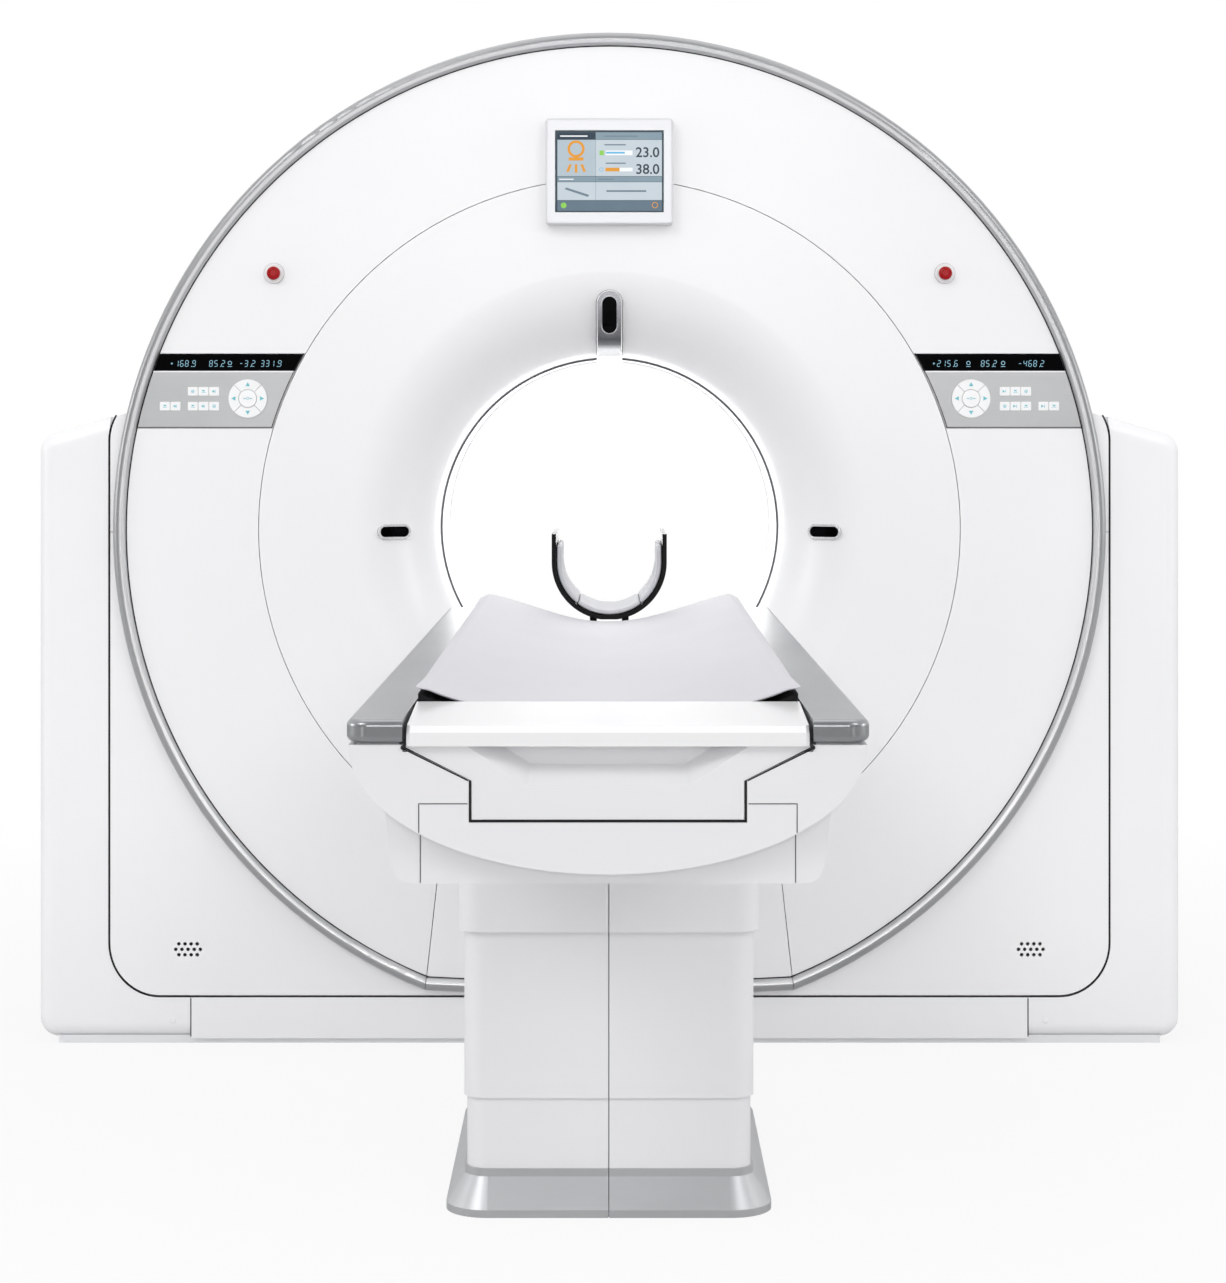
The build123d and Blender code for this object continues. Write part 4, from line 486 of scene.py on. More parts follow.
def outward(obj):
    """Merges doubled points and turns every face of a closed piece outwards."""
    work = bmesh.new()
    work.from_mesh(obj.data)
    bmesh.ops.remove_doubles(work, verts=work.verts, dist=1e-6)
    bmesh.ops.recalc_face_normals(work, faces=work.faces)
    work.to_mesh(obj.data)
    work.free()
    return obj


def flat_shapes(outlines, y):
    """Outlines in x and z, one after the other, as points at that y and one face each, facing the camera."""
    points, faces, start = [], [], 0
    for outline in outlines:
        outline = np.asarray(outline)
        x, z = outline.T
        turn = np.sum(x * np.roll(z, -1) - np.roll(x, -1) * z)
        outline = outline if turn > 0 else outline[::-1]
        points.append(np.insert(outline, 1, y, axis=1))
        faces.append(np.arange(start, start + len(outline)))
        start += len(outline)
    return np.concatenate(points), faces


def flat_piece(name, outlines, y, material, body, slot="screen", depth=0.0001):
    """Thin prints or strips with these outlines and that thickness."""
    return piece(name, *flat_shapes(outlines, y), material, body, slot, smooth=False, depth=depth)


def rectangle(x0, x1, z0, z1):
    """Corners of a rectangle."""
    return [(x0, z0), (x1, z0), (x1, z1), (x0, z1)]


def ring_bits(x, z, outer, inner, count=28):
    """A flat ring as quads: points at equal angles on two circles."""
    angle = np.linspace(0, 2 * math.pi, count + 1)
    out = np.stack([x + outer * np.cos(angle), z + outer * np.sin(angle)], 1)
    into = np.stack([x + inner * np.cos(angle), z + inner * np.sin(angle)], 1)
    return [np.array([out[i], out[i + 1], into[i + 1], into[i]]) for i in range(count)]


def round_spot(x, z, radius, count=24):
    """A flat disc: points at equal angles."""
    angle = np.arange(count) * 2 * math.pi / count
    return np.stack([x + radius * np.cos(angle), z + radius * np.sin(angle)], 1)


print("a ring of quads has", len(ring_bits(0, 0, 1, 0.8)), "faces")

# %% [markdown]
# ## Mattress
# The mattress is a thin foam pad that lies in the cradle's trough. It is held all over, so it is worked
# out instead of simulated: the top dips across the table, the thickness swells from a welded edge, and
# towards the foot the pad thins to a flap whose corners stand free of the dark cradle.

# %% Mattress surface


def smooth_step(t):
    """3 t squared minus 2 t cubed, held between 0 and 1."""
    t = np.clip(t, 0, 1)
    return t * t * (3 - 2 * t)


def ripple(x, y):
    """Slack of the cover: three slow sine waves that cross each other, held within -1 and 1."""
    parts = ((31, 7, 0, 1), (-11, 19, 1.3, 0.7), (53, -23, 0.4, 0.5))  # radians per metre, start, height
    return sum(height * np.sin(x * in_x + y * in_y + start) for in_x, in_y, start, height in parts) / 2.2


def mattress_points(across, along):
    """Top and under side of the pad over a grid of u from -1 to 1 across and v from 0 to 1 along.

    The under side follows the trough, a parabola in u. The top rises with 0.45 u squared plus a cosine, so
    the sides round off. Over the first third from the foot it changes from |u| to the power 2.7, which is
    flat with raised corners.
    """
    u, v = np.meshgrid(np.linspace(-1, 1, across), np.linspace(0, 1, along), indexing="ij")
    u = np.sign(u) * (1 - (1 - np.abs(u)) ** 1.6)
    v = 0.5 - 0.5 * np.cos(v * math.pi)
    foot, head = -2.5835, -0.842
    x = (0.2385 - 0.0020 * v) * u
    y = foot + (head - foot) * v
    roll = (0.004 + 0.003 * v) * smooth_step((np.abs(u) - 0.92) / 0.08)
    bottom = 0.887
    trough = bottom + (0.036 + 0.019 * v) * u ** 2 - roll
    swell = 0.45 * u ** 2 + 0.275 * (1 - np.cos(math.pi * u))
    swell = np.abs(u) ** 2.7 + (swell - np.abs(u) ** 2.7) * smooth_step(v / 0.35)
    crown = bottom + 0.0025 * v + (0.041 + 0.015 * v) * swell - roll
    near_foot = smooth_step(1 - (y - foot) / 0.20)
    edge = (1 - np.abs(u) ** 14) ** 0.5 * (1 - np.abs(2 * v - 1) ** 120) ** 0.5
    top = crown + 0.0007 * ripple(x, y) * edge
    low = trough + (crown - trough) * near_foot - 0.0185 + 0.0125 * near_foot
    middle = top - 0.35 * (top - low)
    return (np.stack([x, y, middle + (top - middle) * edge], -1).reshape(-1, 3),
            np.stack([x, y, middle + (low - middle) * edge], -1).reshape(-1, 3))


def cushion(name, sides, across, along, material, slot):
    """A closed pad on the cradle from the grids of its two sides."""
    faces = grid_faces(across, along)
    faces = np.concatenate([faces, faces[:, ::-1] + len(sides[0])])
    return outward(piece(name, np.concatenate(sides), faces, material, "cradle", slot))


mattress = cushion("mattress_pad", mattress_points(70, 200), 70, 200, mattress_fabric, "mattress_cover")
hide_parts("mattress")
print("mattress from", mattress.data.vertices[0].co[:], "faces:", len(mattress.data.polygons))

# %% [markdown]
# ## Head pads
# Three pads line the head holder's U: one below and one up each arm. Each is a strip that follows the U
# and swells in the middle, with a welded edge all round.

# %% Head pad surfaces
HOLDER_R = 0.0975  # inner radius of the head holder


def holder_path(s):
    """Point and inward direction on the U at a length s from its lowest point: an arc, then straight up."""
    quarter = HOLDER_R * math.pi / 2
    angle = np.clip(np.abs(s), 0, quarter) / HOLDER_R
    rise = np.maximum(np.abs(s) - quarter, 0)
    x = np.sign(s) * HOLDER_R * np.sin(angle)
    z = 0.996 - HOLDER_R * np.cos(angle) + rise
    return x, z, -np.sign(s) * np.sin(angle), np.cos(angle)


def pad_points(start, end, across, along):
    """Inner and outer side of one pad over a grid of s along the U and y along the table."""
    a, b = np.meshgrid(np.linspace(-1, 1, across), np.linspace(-1, 1, along), indexing="ij")
    s = (start + end) / 2 + (end - start) / 2 * np.sign(a) * (1 - (1 - np.abs(a)) ** 1.5)
    y = -0.686 + 0.1415 * np.sign(b) * (1 - (1 - np.abs(b)) ** 1.5)
    x, z, in_x, in_z = holder_path(s)
    edge = (1 - np.abs(a) ** 8) ** 0.5 * (1 - np.abs(b) ** 16) ** 0.5
    inner = 0.0035 + (0.0058 + 0.0004 * ripple(6 * x, 6 * y)) * edge
    outer = 0.0035 - 0.0028 * edge
    return [np.stack([x + in_x * d, y, z + in_z * d], -1).reshape(-1, 3) for d in (inner, outer)]


reach = HOLDER_R * math.radians(37.4)
tall = HOLDER_R * math.pi / 2 + 0.031
for side, start, end in (("low", -reach, reach), ("right", reach + 0.0015, tall),
                         ("left", -tall, -reach - 0.0015)):
    pad = cushion(f"head_pad_{side}", pad_points(start, end, 40, 60), 40, 60, pad_fabric, "pad_foam")
    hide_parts("head_pads")
print("head pads reach", round(tall * 1000), "mm up each arm")

# %% [markdown]
# ## Read-outs
# Each black strip shows a few plain numbers in seven-segment figures. A figure is a set of six-sided bars
# that lean a little to the right.

# %% Seven-segment figures
SEGMENTS = {"0": "abcdef", "1": "bc", "2": "abged", "3": "abgcd", "4": "fgbc", "5": "afgcd", "6": "afgedc",
            "7": "abc", "8": "abcdefg", "9": "abcdfg", "-": "g", "+": "gh", ".": "p"}
BAR_PLACES = {"a": (0, 1, 0), "b": (1, 0.5, 1), "c": (1, -0.5, 1), "d": (0, -1, 0), "e": (-1, -0.5, 1),
              "f": (-1, 0.5, 1), "g": (0, 0, 0), "h": (0, 0, 1), "p": (0, -1, 2)}


def figures(text, left, middle_z, height):
    """Bars of a text: each bar is a six-sided outline turned upright or level and set in its place."""
    half, wide = height / 2, height * 0.24
    bars, x = [], left + wide
    for letter in text:
        for name in SEGMENTS[letter]:
            side, level, way = BAR_PLACES[name]
            size = (wide, half / 2, height * 0.11)[way] * 0.86
            bar = height * (0.046, 0.046, 0.085)[way]
            outline = np.array([(-size, 0), (bar - size, -bar), (size - bar, -bar),
                                (size, 0), (size - bar, bar), (bar - size, bar)])
            outline = outline[:, ::-1] if way == 1 else outline
            centre = np.array([side * wide, level * half])
            shape = outline + centre
            shape[:, 0] += shape[:, 1] * 0.10 + x
            shape[:, 1] += middle_z
            bars.append(shape)
        x += height * (0.36 if letter == "." else 0.84)
    return bars


readout_z = 1.3742
shown = {
    "right": [("+215.6", 0.652), ("85.2", 0.7505), ("-468.2", 0.826)],
    "left": [("+168.9", -0.886), ("85.2", -0.807), ("-3.2", -0.746), ("331.9", -0.703)],
}
marks = {"right": (0.7245, 0.7945), "left": (-0.766,)}
for side, texts in shown.items():
    bars = [bar for text, left in texts for bar in figures(text, left, readout_z, 0.0120)]
    for x in marks[side]:
        bars += ring_bits(x, readout_z + 0.001, 0.0042, 0.0030, 20)
        bars.append(rectangle(x - 0.0045, x + 0.0045, readout_z - 0.0066, readout_z - 0.0055))
    flat_piece(f"readout_figures_{side}", bars, FACE_Y - 0.0004, shade["cyan"], "gantry", depth=0.0002)
print("read-out texts:", sum(len(t) for t in shown.values()))

# %% [markdown]
# ## Prints on the keys
# The keys have small cyan prints: arrows on the dial, simple signs on the small keys.

# %% Arrows and signs


def arrow(x, z, size, turn):
    """A triangle that points up, turned by an angle in degrees."""
    shape = np.array([(-0.6, -0.5), (0.6, -0.5), (0, 0.6)]) * size
    c, s = math.cos(math.radians(turn)), math.sin(math.radians(turn))
    return shape @ np.array([(c, s), (-s, c)]) + (x, z)


def key_places(flip):
    """Middle and kind of sign of one side's small keys; flip is 1 on the right and -1 on the left."""
    pitch = 0.0215
    groups = ((0.0145, 3, 0.068), (-0.0155, 3, 0.068), (-0.0155, 2, 0.146))  # height, count, first place
    return [(flip * (DIAL_X + first + k * pitch), DIAL_Z + row, (k + (row > 0) + (first > 0.1)) % 3)
            for row, count, first in groups for k in range(count)]


def key_signs(flip):
    """Signs of one side's small keys: an arrow in a ring, an arrow with a bar, or a block over a bar."""
    shapes = []
    for x, z, kind in key_places(flip):
        if kind == 0:
            shapes += ring_bits(x, z, 0.0034, 0.0024, 16)
            shapes.append(arrow(x, z, 0.003, 0))
        elif kind == 1:
            shapes.append(arrow(x - 0.002, z, 0.005, -90 * flip))
            shapes.append(rectangle(x + 0.0016, x + 0.0026, z - 0.003, z + 0.003))
        else:
            shapes.append(rectangle(x - 0.0042, x + 0.0042, z - 0.0026, z - 0.0016))
            shapes.append(rectangle(x - 0.0026, x + 0.0026, z, z + 0.0026))
    return shapes


def rounded_caps(places, width, height, corner, layers):
    """Key caps: a rounded rectangle as layers of (inset, y), closed by a face in front."""
    turn = np.arange(32) * 2 * math.pi / 32
    points, faces, start = [], [], 0
    for x, z, _ in places:
        for inset, y in layers:
            r = corner - min(inset, corner * 0.8)
            px = np.sign(np.cos(turn)) * (width / 2 - inset - r) + r * np.cos(turn)
            pz = np.sign(np.sin(turn)) * (height / 2 - inset - r) + r * np.sin(turn)
            points.append(np.stack([x + px, np.full(32, y), z + pz], 1))
        faces += list(grid_faces(len(layers), 32, True) + start)
        faces.append(np.arange(32)[::-1] + start)
        faces.append(np.arange(32) + start + 32 * (len(layers) - 1))
        start += 32 * len(layers)
    return np.concatenate(points), faces


CAP_LAYERS = [(inset, FACE_Y - y)
              for inset, y in ((0.0001, 0.0010), (0.0, 0.0014), (0.0002, 0.0018), (0.0007, 0.0020))]
for side, flip in SIDES:
    caps = rounded_caps(key_places(flip), 0.0202, 0.0177, 0.002, CAP_LAYERS)
    outward(piece(f"key_caps_{side}", *caps, key_plastic, "gantry", "key_silver", smooth=False))
    flat_piece(f"key_prints_{side}", key_signs(flip), FACE_Y - 0.0021, cyan_print, "gantry")
    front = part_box(f"dial_key_up_{side}")[0][1] - 0.0002
    reach = 0.0285
    places = {"up": (0, reach, 0), "down": (0, -reach, 180), "inner": (-reach * flip, 0, 90 * flip),
              "outer": (reach * flip, 0, -90 * flip)}
    for name, (dx, dz, turn) in places.items():
        shape = arrow(flip * DIAL_X + dx, DIAL_Z + dz, 0.0075, turn)
        flat_piece(f"dial_arrow_{name}_{side}", [shape], front, cyan_print, f"dial_key_{name}_{side}")
    x, front = flip * DIAL_X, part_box(f"dial_centre_{side}")[0][1] - 0.0002
    sign = [rectangle(x + start, x + start + 0.0055, DIAL_Z - 0.0007, DIAL_Z + 0.0007)
            for start in (-0.009, 0.0035)]
    sign += ring_bits(x, DIAL_Z, 0.0028, 0.0019, 16)
    flat_piece(f"dial_sign_{side}", sign, front, cyan_print, f"dial_centre_{side}")
print("dial arrows: 8")

# %% [markdown]
# ## Screen
# The screen shows a plain layout: header, panes, two bars with their values, bands and two lamps. Words
# are only thin bars, so nothing on it can be read except two plain numbers.

# %% Screen layout
screen_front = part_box("monitor_screen")[0][1]
SCREEN_Z = 1.760  # height of the screen's middle


def screen_area(x0, x1, z0, z1):
    """A rectangle given in millimetres from the screen's middle."""
    return rectangle(x0 * MM, x1 * MM, SCREEN_Z + z0 * MM, SCREEN_Z + z1 * MM)


layout = {
    "header": [(-104.5, -29, 64, 77)],
    "band": [(-27.5, 105.5, 64, 78.5), (-104.5, -27.9, -21, -10.5), (-27.5, 105.5, -21, -10.5)],
    "pane": [(-104.5, -27.9, -9.7, 63.3)],
    "light": [(-27.5, 105.5, -9.7, 63.3), (-104.5, -27.9, -57.8, -21.8), (-27.5, 105.5, -57.8, -21.8)],
    "low": [(-104.5, 105.5, -79.5, -58.4)],
}
for name, areas in layout.items():
    shapes = [screen_area(*area) for area in areas]
    flat_piece(f"screen_{name}", shapes, screen_front - 0.0001, shade[name], "gantry", depth=0.00005)

over = {
    "white": [(-7.5, 46.5, 32.3, 41.8), (-8, 46.5, -0.2, 7.2), (-99, -44, 69.5, 72), (-101, -72, -17, -15)],
    "blue": [(-7, 31, 35.5, 39.2)],
    "orange": [(-8, 20.5, -0.2, 7.2)],
    "green": [(-20, -11, 32.3, 41.8)],
    "faint": [(-10, 57, 69.6, 71.6), (-10, 33, 52, 54.5), (-7.5, 33, 15, 17.5), (-22, 9, -17, -15),
              (-6, 74, -41.5, -38)],
}
SIGN_X = -0.067  # middle of the orange sign: a ring over a bar, with a post and two legs
leg = np.array([(0.0084, 1.774), (0.0140, 1.774), (0.0199, 1.759), (0.0143, 1.759)])
sign = ring_bits(SIGN_X, 1.805, 0.0172, 0.0120, 40)
sign += [screen_area(-82, -52, 21.5, 28), screen_area(-69.5, -64.5, -3, 14)]
sign += [leg * (side, 1) + (SIGN_X, 0) for side in (-1, 1)]
more = {
    "orange": sign + ring_bits(0.0915, 1.692, 0.0062, 0.0048, 24),
    "green": [round_spot(-0.092, 1.6915, 0.0058)],
    "blue": ring_bits(-0.0165, 1.7635, 0.0042, 0.0032, 24),
    "faint": [[(-0.090, 1.724), (-0.0435, 1.7085), (-0.0405, 1.7125), (-0.087, 1.7275)]],
}
for name, areas in over.items():
    shapes = [screen_area(*area) for area in areas] + more.get(name, [])
    lift = 0.0002 if name in ("white", "faint") else 0.0003
    flat_piece(f"screen_marks_{name}", shapes, screen_front - lift, shade[name], "gantry", depth=0.00005)
print("screen front at y =", round(screen_front, 4))

# %% Two plain values on the screen


def value(name, text, left, z):
    """Plain numbers as a mesh: the points of a text object, turned upright and placed."""
    curve = bpy.data.curves.new(name, "FONT")
    curve.body = text
    curve.size = 0.028
    curve.resolution_u = 4
    curve.offset = 0.0004
    holder = new_object(name + "_text", curve)
    bpy.context.view_layer.update()
    mesh = bpy.data.meshes.new_from_object(holder.evaluated_get(bpy.context.evaluated_depsgraph_get()))
    x, up, _ = np.array([v.co[:] for v in mesh.vertices]).T
    faces = [tuple(p.vertices) for p in mesh.polygons]
    bpy.data.objects.remove(holder)
    placed = np.stack([left + x, np.full(len(x), screen_front - 0.0002), z + up], 1)
    piece(name, placed, faces, shade["ink"], "gantry", "screen", smooth=False, depth=0.00005)


value("screen_value_upper", "23.0", 0.0526, 1.7888)
value("screen_value_lower", "38.0", 0.0526, 1.7550)
print("values placed right of the bars")

# %% [markdown]
# ## Small turned pieces
# Round caps cover the screws of the tower feet, and two rubber stops sit under the white cap's corners.

# %% Caps and stops


def turned_piece(name, profile, x, y, z, material, body, slot, count=32):
    """A profile of (radius, depth behind y) turned round an axis along Y through x and z."""
    radius, depth = np.array(profile).T
    angle = np.arange(count) * 2 * math.pi / count
    r, a = np.meshgrid(radius, angle, indexing="ij")
    points = np.stack([x + r * np.cos(a), y + np.repeat(depth[:, None], count, 1), z + r * np.sin(a)], -1)
    faces = grid_faces(len(radius), count, True)
    return outward(piece(name, points.reshape(-1, 3), faces, material, body, slot))


tower_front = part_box("tower_cover_right")[0][1]
hull_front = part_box("table_hull")[0][1]
cap = [(0, -0.0012), (0.004, -0.0012), (0.0056, -0.0006), (0.006, 0), (0.006, 0.001), (0, 0.001)]
stop = [(0, -0.004), (0.0018, -0.004), (0.0026, -0.003), (0.0027, 0.002), (0, 0.002)]
for side, flip in SIDES:
    turned_piece(f"foot_cap_{side}", cap, flip * 0.882, tower_front, 0.046, white_paint, "base",
                 "white_cover")
    turned_piece(f"rubber_stop_{side}", stop, flip * 0.2405, hull_front, 0.8672, dark_rubber_and_shade, "table",
                 "roller_rubber")
print("foot caps sit on y =", round(tower_front, 4))

# %% [markdown]
# ## Seals in the gaps
# A soft black lip is glued to each tower along the gap round the tilting body, and another one to the
# table round the sliding carriage. Each is a four-sided section carried along the gap. The path comes
# from the same circles as the covers, so the lip stands clear of what moves past it.

# %% Lips of black rubber
DRUM_R = 0.992  # drum under the tilting body
END_X, END_R = 0.909, 0.100  # its rounded ends
SHOULDER_X, SHOULDER_Z, SHOULDER_R = 0.913, 1.219, 0.096  # the tower's shoulder
KEEL_X, KEEL_Z, KEEL_LOW = 0.1634, 0.8290, 0.7788  # upright sides of the carriage's channel, top and bottom
WING_X, WING_Z = 0.2410, 0.8670  # end of its slopes


def lip_points(path, near, far, y_front, y_back):
    """Section with corners at two distances from the moving side and two depths, carried along a path."""
    corners = [(near, y_front), (far, y_front), (far, y_back), (near, y_back)]
    return np.stack([np.stack(path(g, y), 1) for g, y in corners], 1)


def lip(name, points, body):
    """A closed strip: the grid of its four long edges and a face at each end."""
    count = len(points)
    last = 4 * (count - 1)
    faces = list(grid_faces(count, 4, True)) + [np.arange(4), np.arange(4)[::-1] + last]
    return outward(piece(name, points.reshape(-1, 3), faces, dark_rubber_and_shade, body, "belt", smooth=False))


def tower_path(g, y):
    """Line beside the tilting body at a distance g: drum, rounded end, straight flank, shoulder arc."""
    t = np.linspace(0, math.pi / 2, 24)
    x = np.concatenate([np.linspace(0.850, END_X, 8)[:-1], END_X + (END_R + g) * np.sin(t)])
    rho = np.concatenate([np.full(7, DRUM_R + g), DRUM_R - END_R + (END_R + g) * np.cos(t)])
    z = ISO_Z - np.sqrt(rho ** 2 - y ** 2)
    a = np.linspace(0, math.radians(31), 10)
    x = np.concatenate([x, [END_X + END_R + g] * 6, SHOULDER_X + (SHOULDER_R + g) * np.cos(a)])
    flank = np.linspace(z[-1], SHOULDER_Z, 8)[1:-1]
    z = np.concatenate([z, flank, SHOULDER_Z + (SHOULDER_R + g) * np.sin(a)])
    return x, np.full(len(x), y), z


def carriage_path(c, y):
    """Outline of the carriage's channel, made smaller by c: down one side, along the bottom and up again."""
    x = np.array([WING_X - c, KEEL_X - c, KEEL_X - c])
    z = np.array([WING_Z, KEEL_Z - 0.4 * c, KEEL_LOW + c])
    return np.concatenate([x, -x[::-1]]), np.full(6, y), np.concatenate([z, z[::-1]])


tower_lip = lip_points(tower_path, 0.0016, 0.0043, -0.3065, -0.3005)
for side, flip in SIDES:
    lip(f"tower_lip_{side}", tower_lip * (flip, 1, 1), "base")
carriage_lip = lip_points(carriage_path, 0.0002, 0.0026, hull_front + 0.002, hull_front + 0.006)
lip("carriage_lip", carriage_lip, "table")
slope = np.array([(KEEL_X, KEEL_Z), (WING_X, WING_Z), (WING_X + 0.0008, WING_Z - 0.0016),
                  (KEEL_X + 0.0008, KEEL_Z - 0.0016)])
flat_piece("carriage_trim", [slope, slope * (-1, 1)], hull_front - 0.0002, dark_rubber_and_shade, "table", "belt",
           0.0003)
print("lip points per side:", tower_lip.shape[0] * 4)

# %% Seals in the seams of hull, belly, skirt and kick covers
# Also used for the painted shadow along each control plate's lower edge.
grey_seal_and_shade = grainy("grey_seal_rubber_and_painted_shade", "#606265", "#6A6C6F", 0.001, 0.0, 0.60, 0.72, 1e-5)
seam_in, seam_out = 0.2214, 0.2226  # both sides of the upright seam
hull_seams = [rectangle(seam_in, seam_out, 0.767, 0.8014), rectangle(0.165, seam_in, 0.8004, 0.8016)]
belly_seams = [rectangle(seam_in, seam_out, 0.704, 0.764)]
belly_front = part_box("belly_cover")[0][1]
for name, seams, y in (("hull_seams", hull_seams, hull_front), ("belly_seams", belly_seams, belly_front)):
    both = seams + [np.array(seam) * (-1, 1) for seam in seams]
    flat_piece(name, both, y + 0.0004, grey_seal_and_shade, "table", "belt", 0.0002)
skirt_seam = [rectangle(-0.0005, 0.0005, 0.001, 0.0112)]
flat_piece("skirt_seam", skirt_seam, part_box("base_skirt")[0][1] + 0.002, dark_rubber_and_shade, "base", "belt", 0.001)
kick_x, kick_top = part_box("base_covers")[1][0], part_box("base_covers")[1][2]
print("kick covers end at", round(kick_x, 4), "and", round(kick_top, 4))
foot_seam = np.array(rectangle(kick_x - 0.0004, kick_x + 0.0019, 0.014, kick_top - 0.009))
flat_piece("foot_seams", [foot_seam, foot_seam * (-1, 1)], tower_front - 0.0002, dark_rubber_and_shade, "base", "belt")

# %% Seals round the control plates, with a painted shadow under each
PLATE_IN, PLATE_OUT = 0.7108, 0.9735  # inner and outer radius of the plates
PLATE_LOW, READOUT_LOW, PLATE_TOP = 1.244, 1.3566, 1.395  # their edges and the read-outs' lower edge


def plate_arc(radius, low, top, count):
    """Points on a circle round the bore's axis between two heights, on the right."""
    z = np.linspace(low, top, count)
    return np.stack([np.sqrt(radius ** 2 - (z - ISO_Z) ** 2), z], 1)


def plate_band(inner, outer, low, top, count=2):
    """Outline between two circles round the bore's axis and two heights."""
    return np.concatenate([plate_arc(inner, low, top, count), plate_arc(outer, low, top, count)[::-1]])


seals = (("arc", plate_band(PLATE_IN, PLATE_IN + 0.0018, PLATE_LOW, PLATE_TOP, 12), dark_rubber_and_shade),
         # The foot strip is painted shadow: a grey band along the plate's lower edge.
         ("foot", plate_band(PLATE_IN, PLATE_OUT, PLATE_LOW, PLATE_LOW + 0.0024), grey_seal_and_shade),
         ("head", plate_band(PLATE_IN, PLATE_OUT, READOUT_LOW, READOUT_LOW + 0.0026), key_plastic))
for side, flip in SIDES:
    for name, shape, finish in seals:
        placed = [shape * (flip, 1)]
        flat_piece(f"plate_{name}_{side}", placed, FACE_Y - 0.0004, finish, "gantry", "key_silver")
print("seam seals placed")

# %% [markdown]
# ## Small rings and rims
# A thin grey seal closes the joint between the funnel and the bore liner. Polished rims go round the eye
# over the bore and the two side windows, and a grey ring of painted shade lies round each stop's collar.

# %% Throat seal, painted shade round the buttons, and their marks


def ring_profile(inner, outer, thick):
    """Four corners of a ring's section, closed."""
    return [(inner, 0), (outer, 0), (outer, thick), (inner, thick), (inner, 0)]


throat = ring_profile(0.3462, 0.3515, 0.0038)
turned_piece("throat_seal", throat, 0, -0.1530, ISO_Z, grey_seal_and_shade, "gantry", "belt", 160)
# A grey ring of painted shade round each stop button's collar, where its edge stands in shadow.
edge = ring_profile(0.0200, 0.0211, 0.0008)
for side, flip in SIDES:
    turned_piece(f"stop_shade_ring_{side}", edge, flip * STOP_X, FACE_Y - 0.0006, STOP_Z, skirt_metal_and_shade, "gantry",
                 "key_silver", 48)
    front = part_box(f"estop_{side}")[0][1] - 0.0002
    x = flip * STOP_X
    mark = ring_bits(x, STOP_Z, 0.0046, 0.0038, 24) + [round_spot(x, STOP_Z, 0.0012, 12)]
    flat_piece(f"stop_mark_{side}", mark, front, red_print, f"estop_{side}", "stop_red")
print("stop marks lie at y =", round(front, 4))

# %% Beads along an outline
ROLL_Y, ROLL_Z = -0.150, 1.560  # axis of the roll over the bore
EYE_Z, EYE_R = 1.473, 0.1817  # height of the eye's middle, and the radius that its rim lies on


def bead_points(path, normal, radius, sides=8):
    """Circles round a path: a point plus radius times (cosine across + sine along the surface's normal)."""
    along = np.gradient(path, axis=0)
    along = along / np.linalg.norm(along, axis=1, keepdims=True)
    across = np.cross(along, normal)
    across = across / np.linalg.norm(across, axis=1, keepdims=True)
    turn = np.arange(sides) * 2 * math.pi / sides
    wave = np.cos(turn)[None, :, None] * across[:, None] + np.sin(turn)[None, :, None] * normal[:, None]
    return path[:, None] + radius * wave


def bead(name, points, material, slot, closed):
    """A bead on the gantry; a closed one has its last circle on its first, an open one gets two ends."""
    count, sides = points.shape[:2]
    faces = list(grid_faces(count, sides, True))
    if not closed:
        faces += [np.arange(sides), np.arange(sides)[::-1] + (count - 1) * sides]
    return outward(piece(name, points.reshape(-1, 3), faces, material, "gantry", slot))


def stadium(long, wide, count=49):
    """Closed outline of a slot: two half circles joined by straight lines, from its middle."""
    turn = np.linspace(0, 2 * math.pi, count) + 1e-4
    reach = (long - wide) / 2
    return np.sign(np.cos(turn)) * reach + wide / 2 * np.cos(turn), wide / 2 * np.sin(turn)


def on_roll(x, z, radius):
    """Points and normals on the roll over the bore: a circle of that radius round a line along X."""
    lean = np.arccos((ROLL_Z - z) / radius)
    points = np.stack([x, ROLL_Y - radius * np.sin(lean), z], 1)
    return points, np.stack([0 * x, -np.sin(lean), -np.cos(lean)], 1)


z, x = stadium(0.0745, 0.0315)
bead("eye_rim", bead_points(*on_roll(x, EYE_Z + z, EYE_R), 0.0009), rim_metal, "silver_trim", True)
turn = np.linspace(0, math.pi, 25)
# The second bead is painted shadow: a dark line along the housing's side walls, where they meet the funnel.
for name, half, radius, thick, finish in (("housing_rim", 0.0247, EYE_R, 0.0014, rim_metal),
                                          ("housing_seal", 0.0264, 0.1706, 0.0008, dark_rubber_and_shade)):
    rise = np.linspace(1.396, 1.492, 16)
    x = np.concatenate([np.full(16, half), half * np.cos(turn), np.full(16, -half)])
    z = np.concatenate([rise, 1.496 + half * np.sin(turn), rise[::-1]])
    bead(name, bead_points(*on_roll(x, z, radius), thick), finish, "silver_trim", False)
print("points round the housing's rim:", len(x))

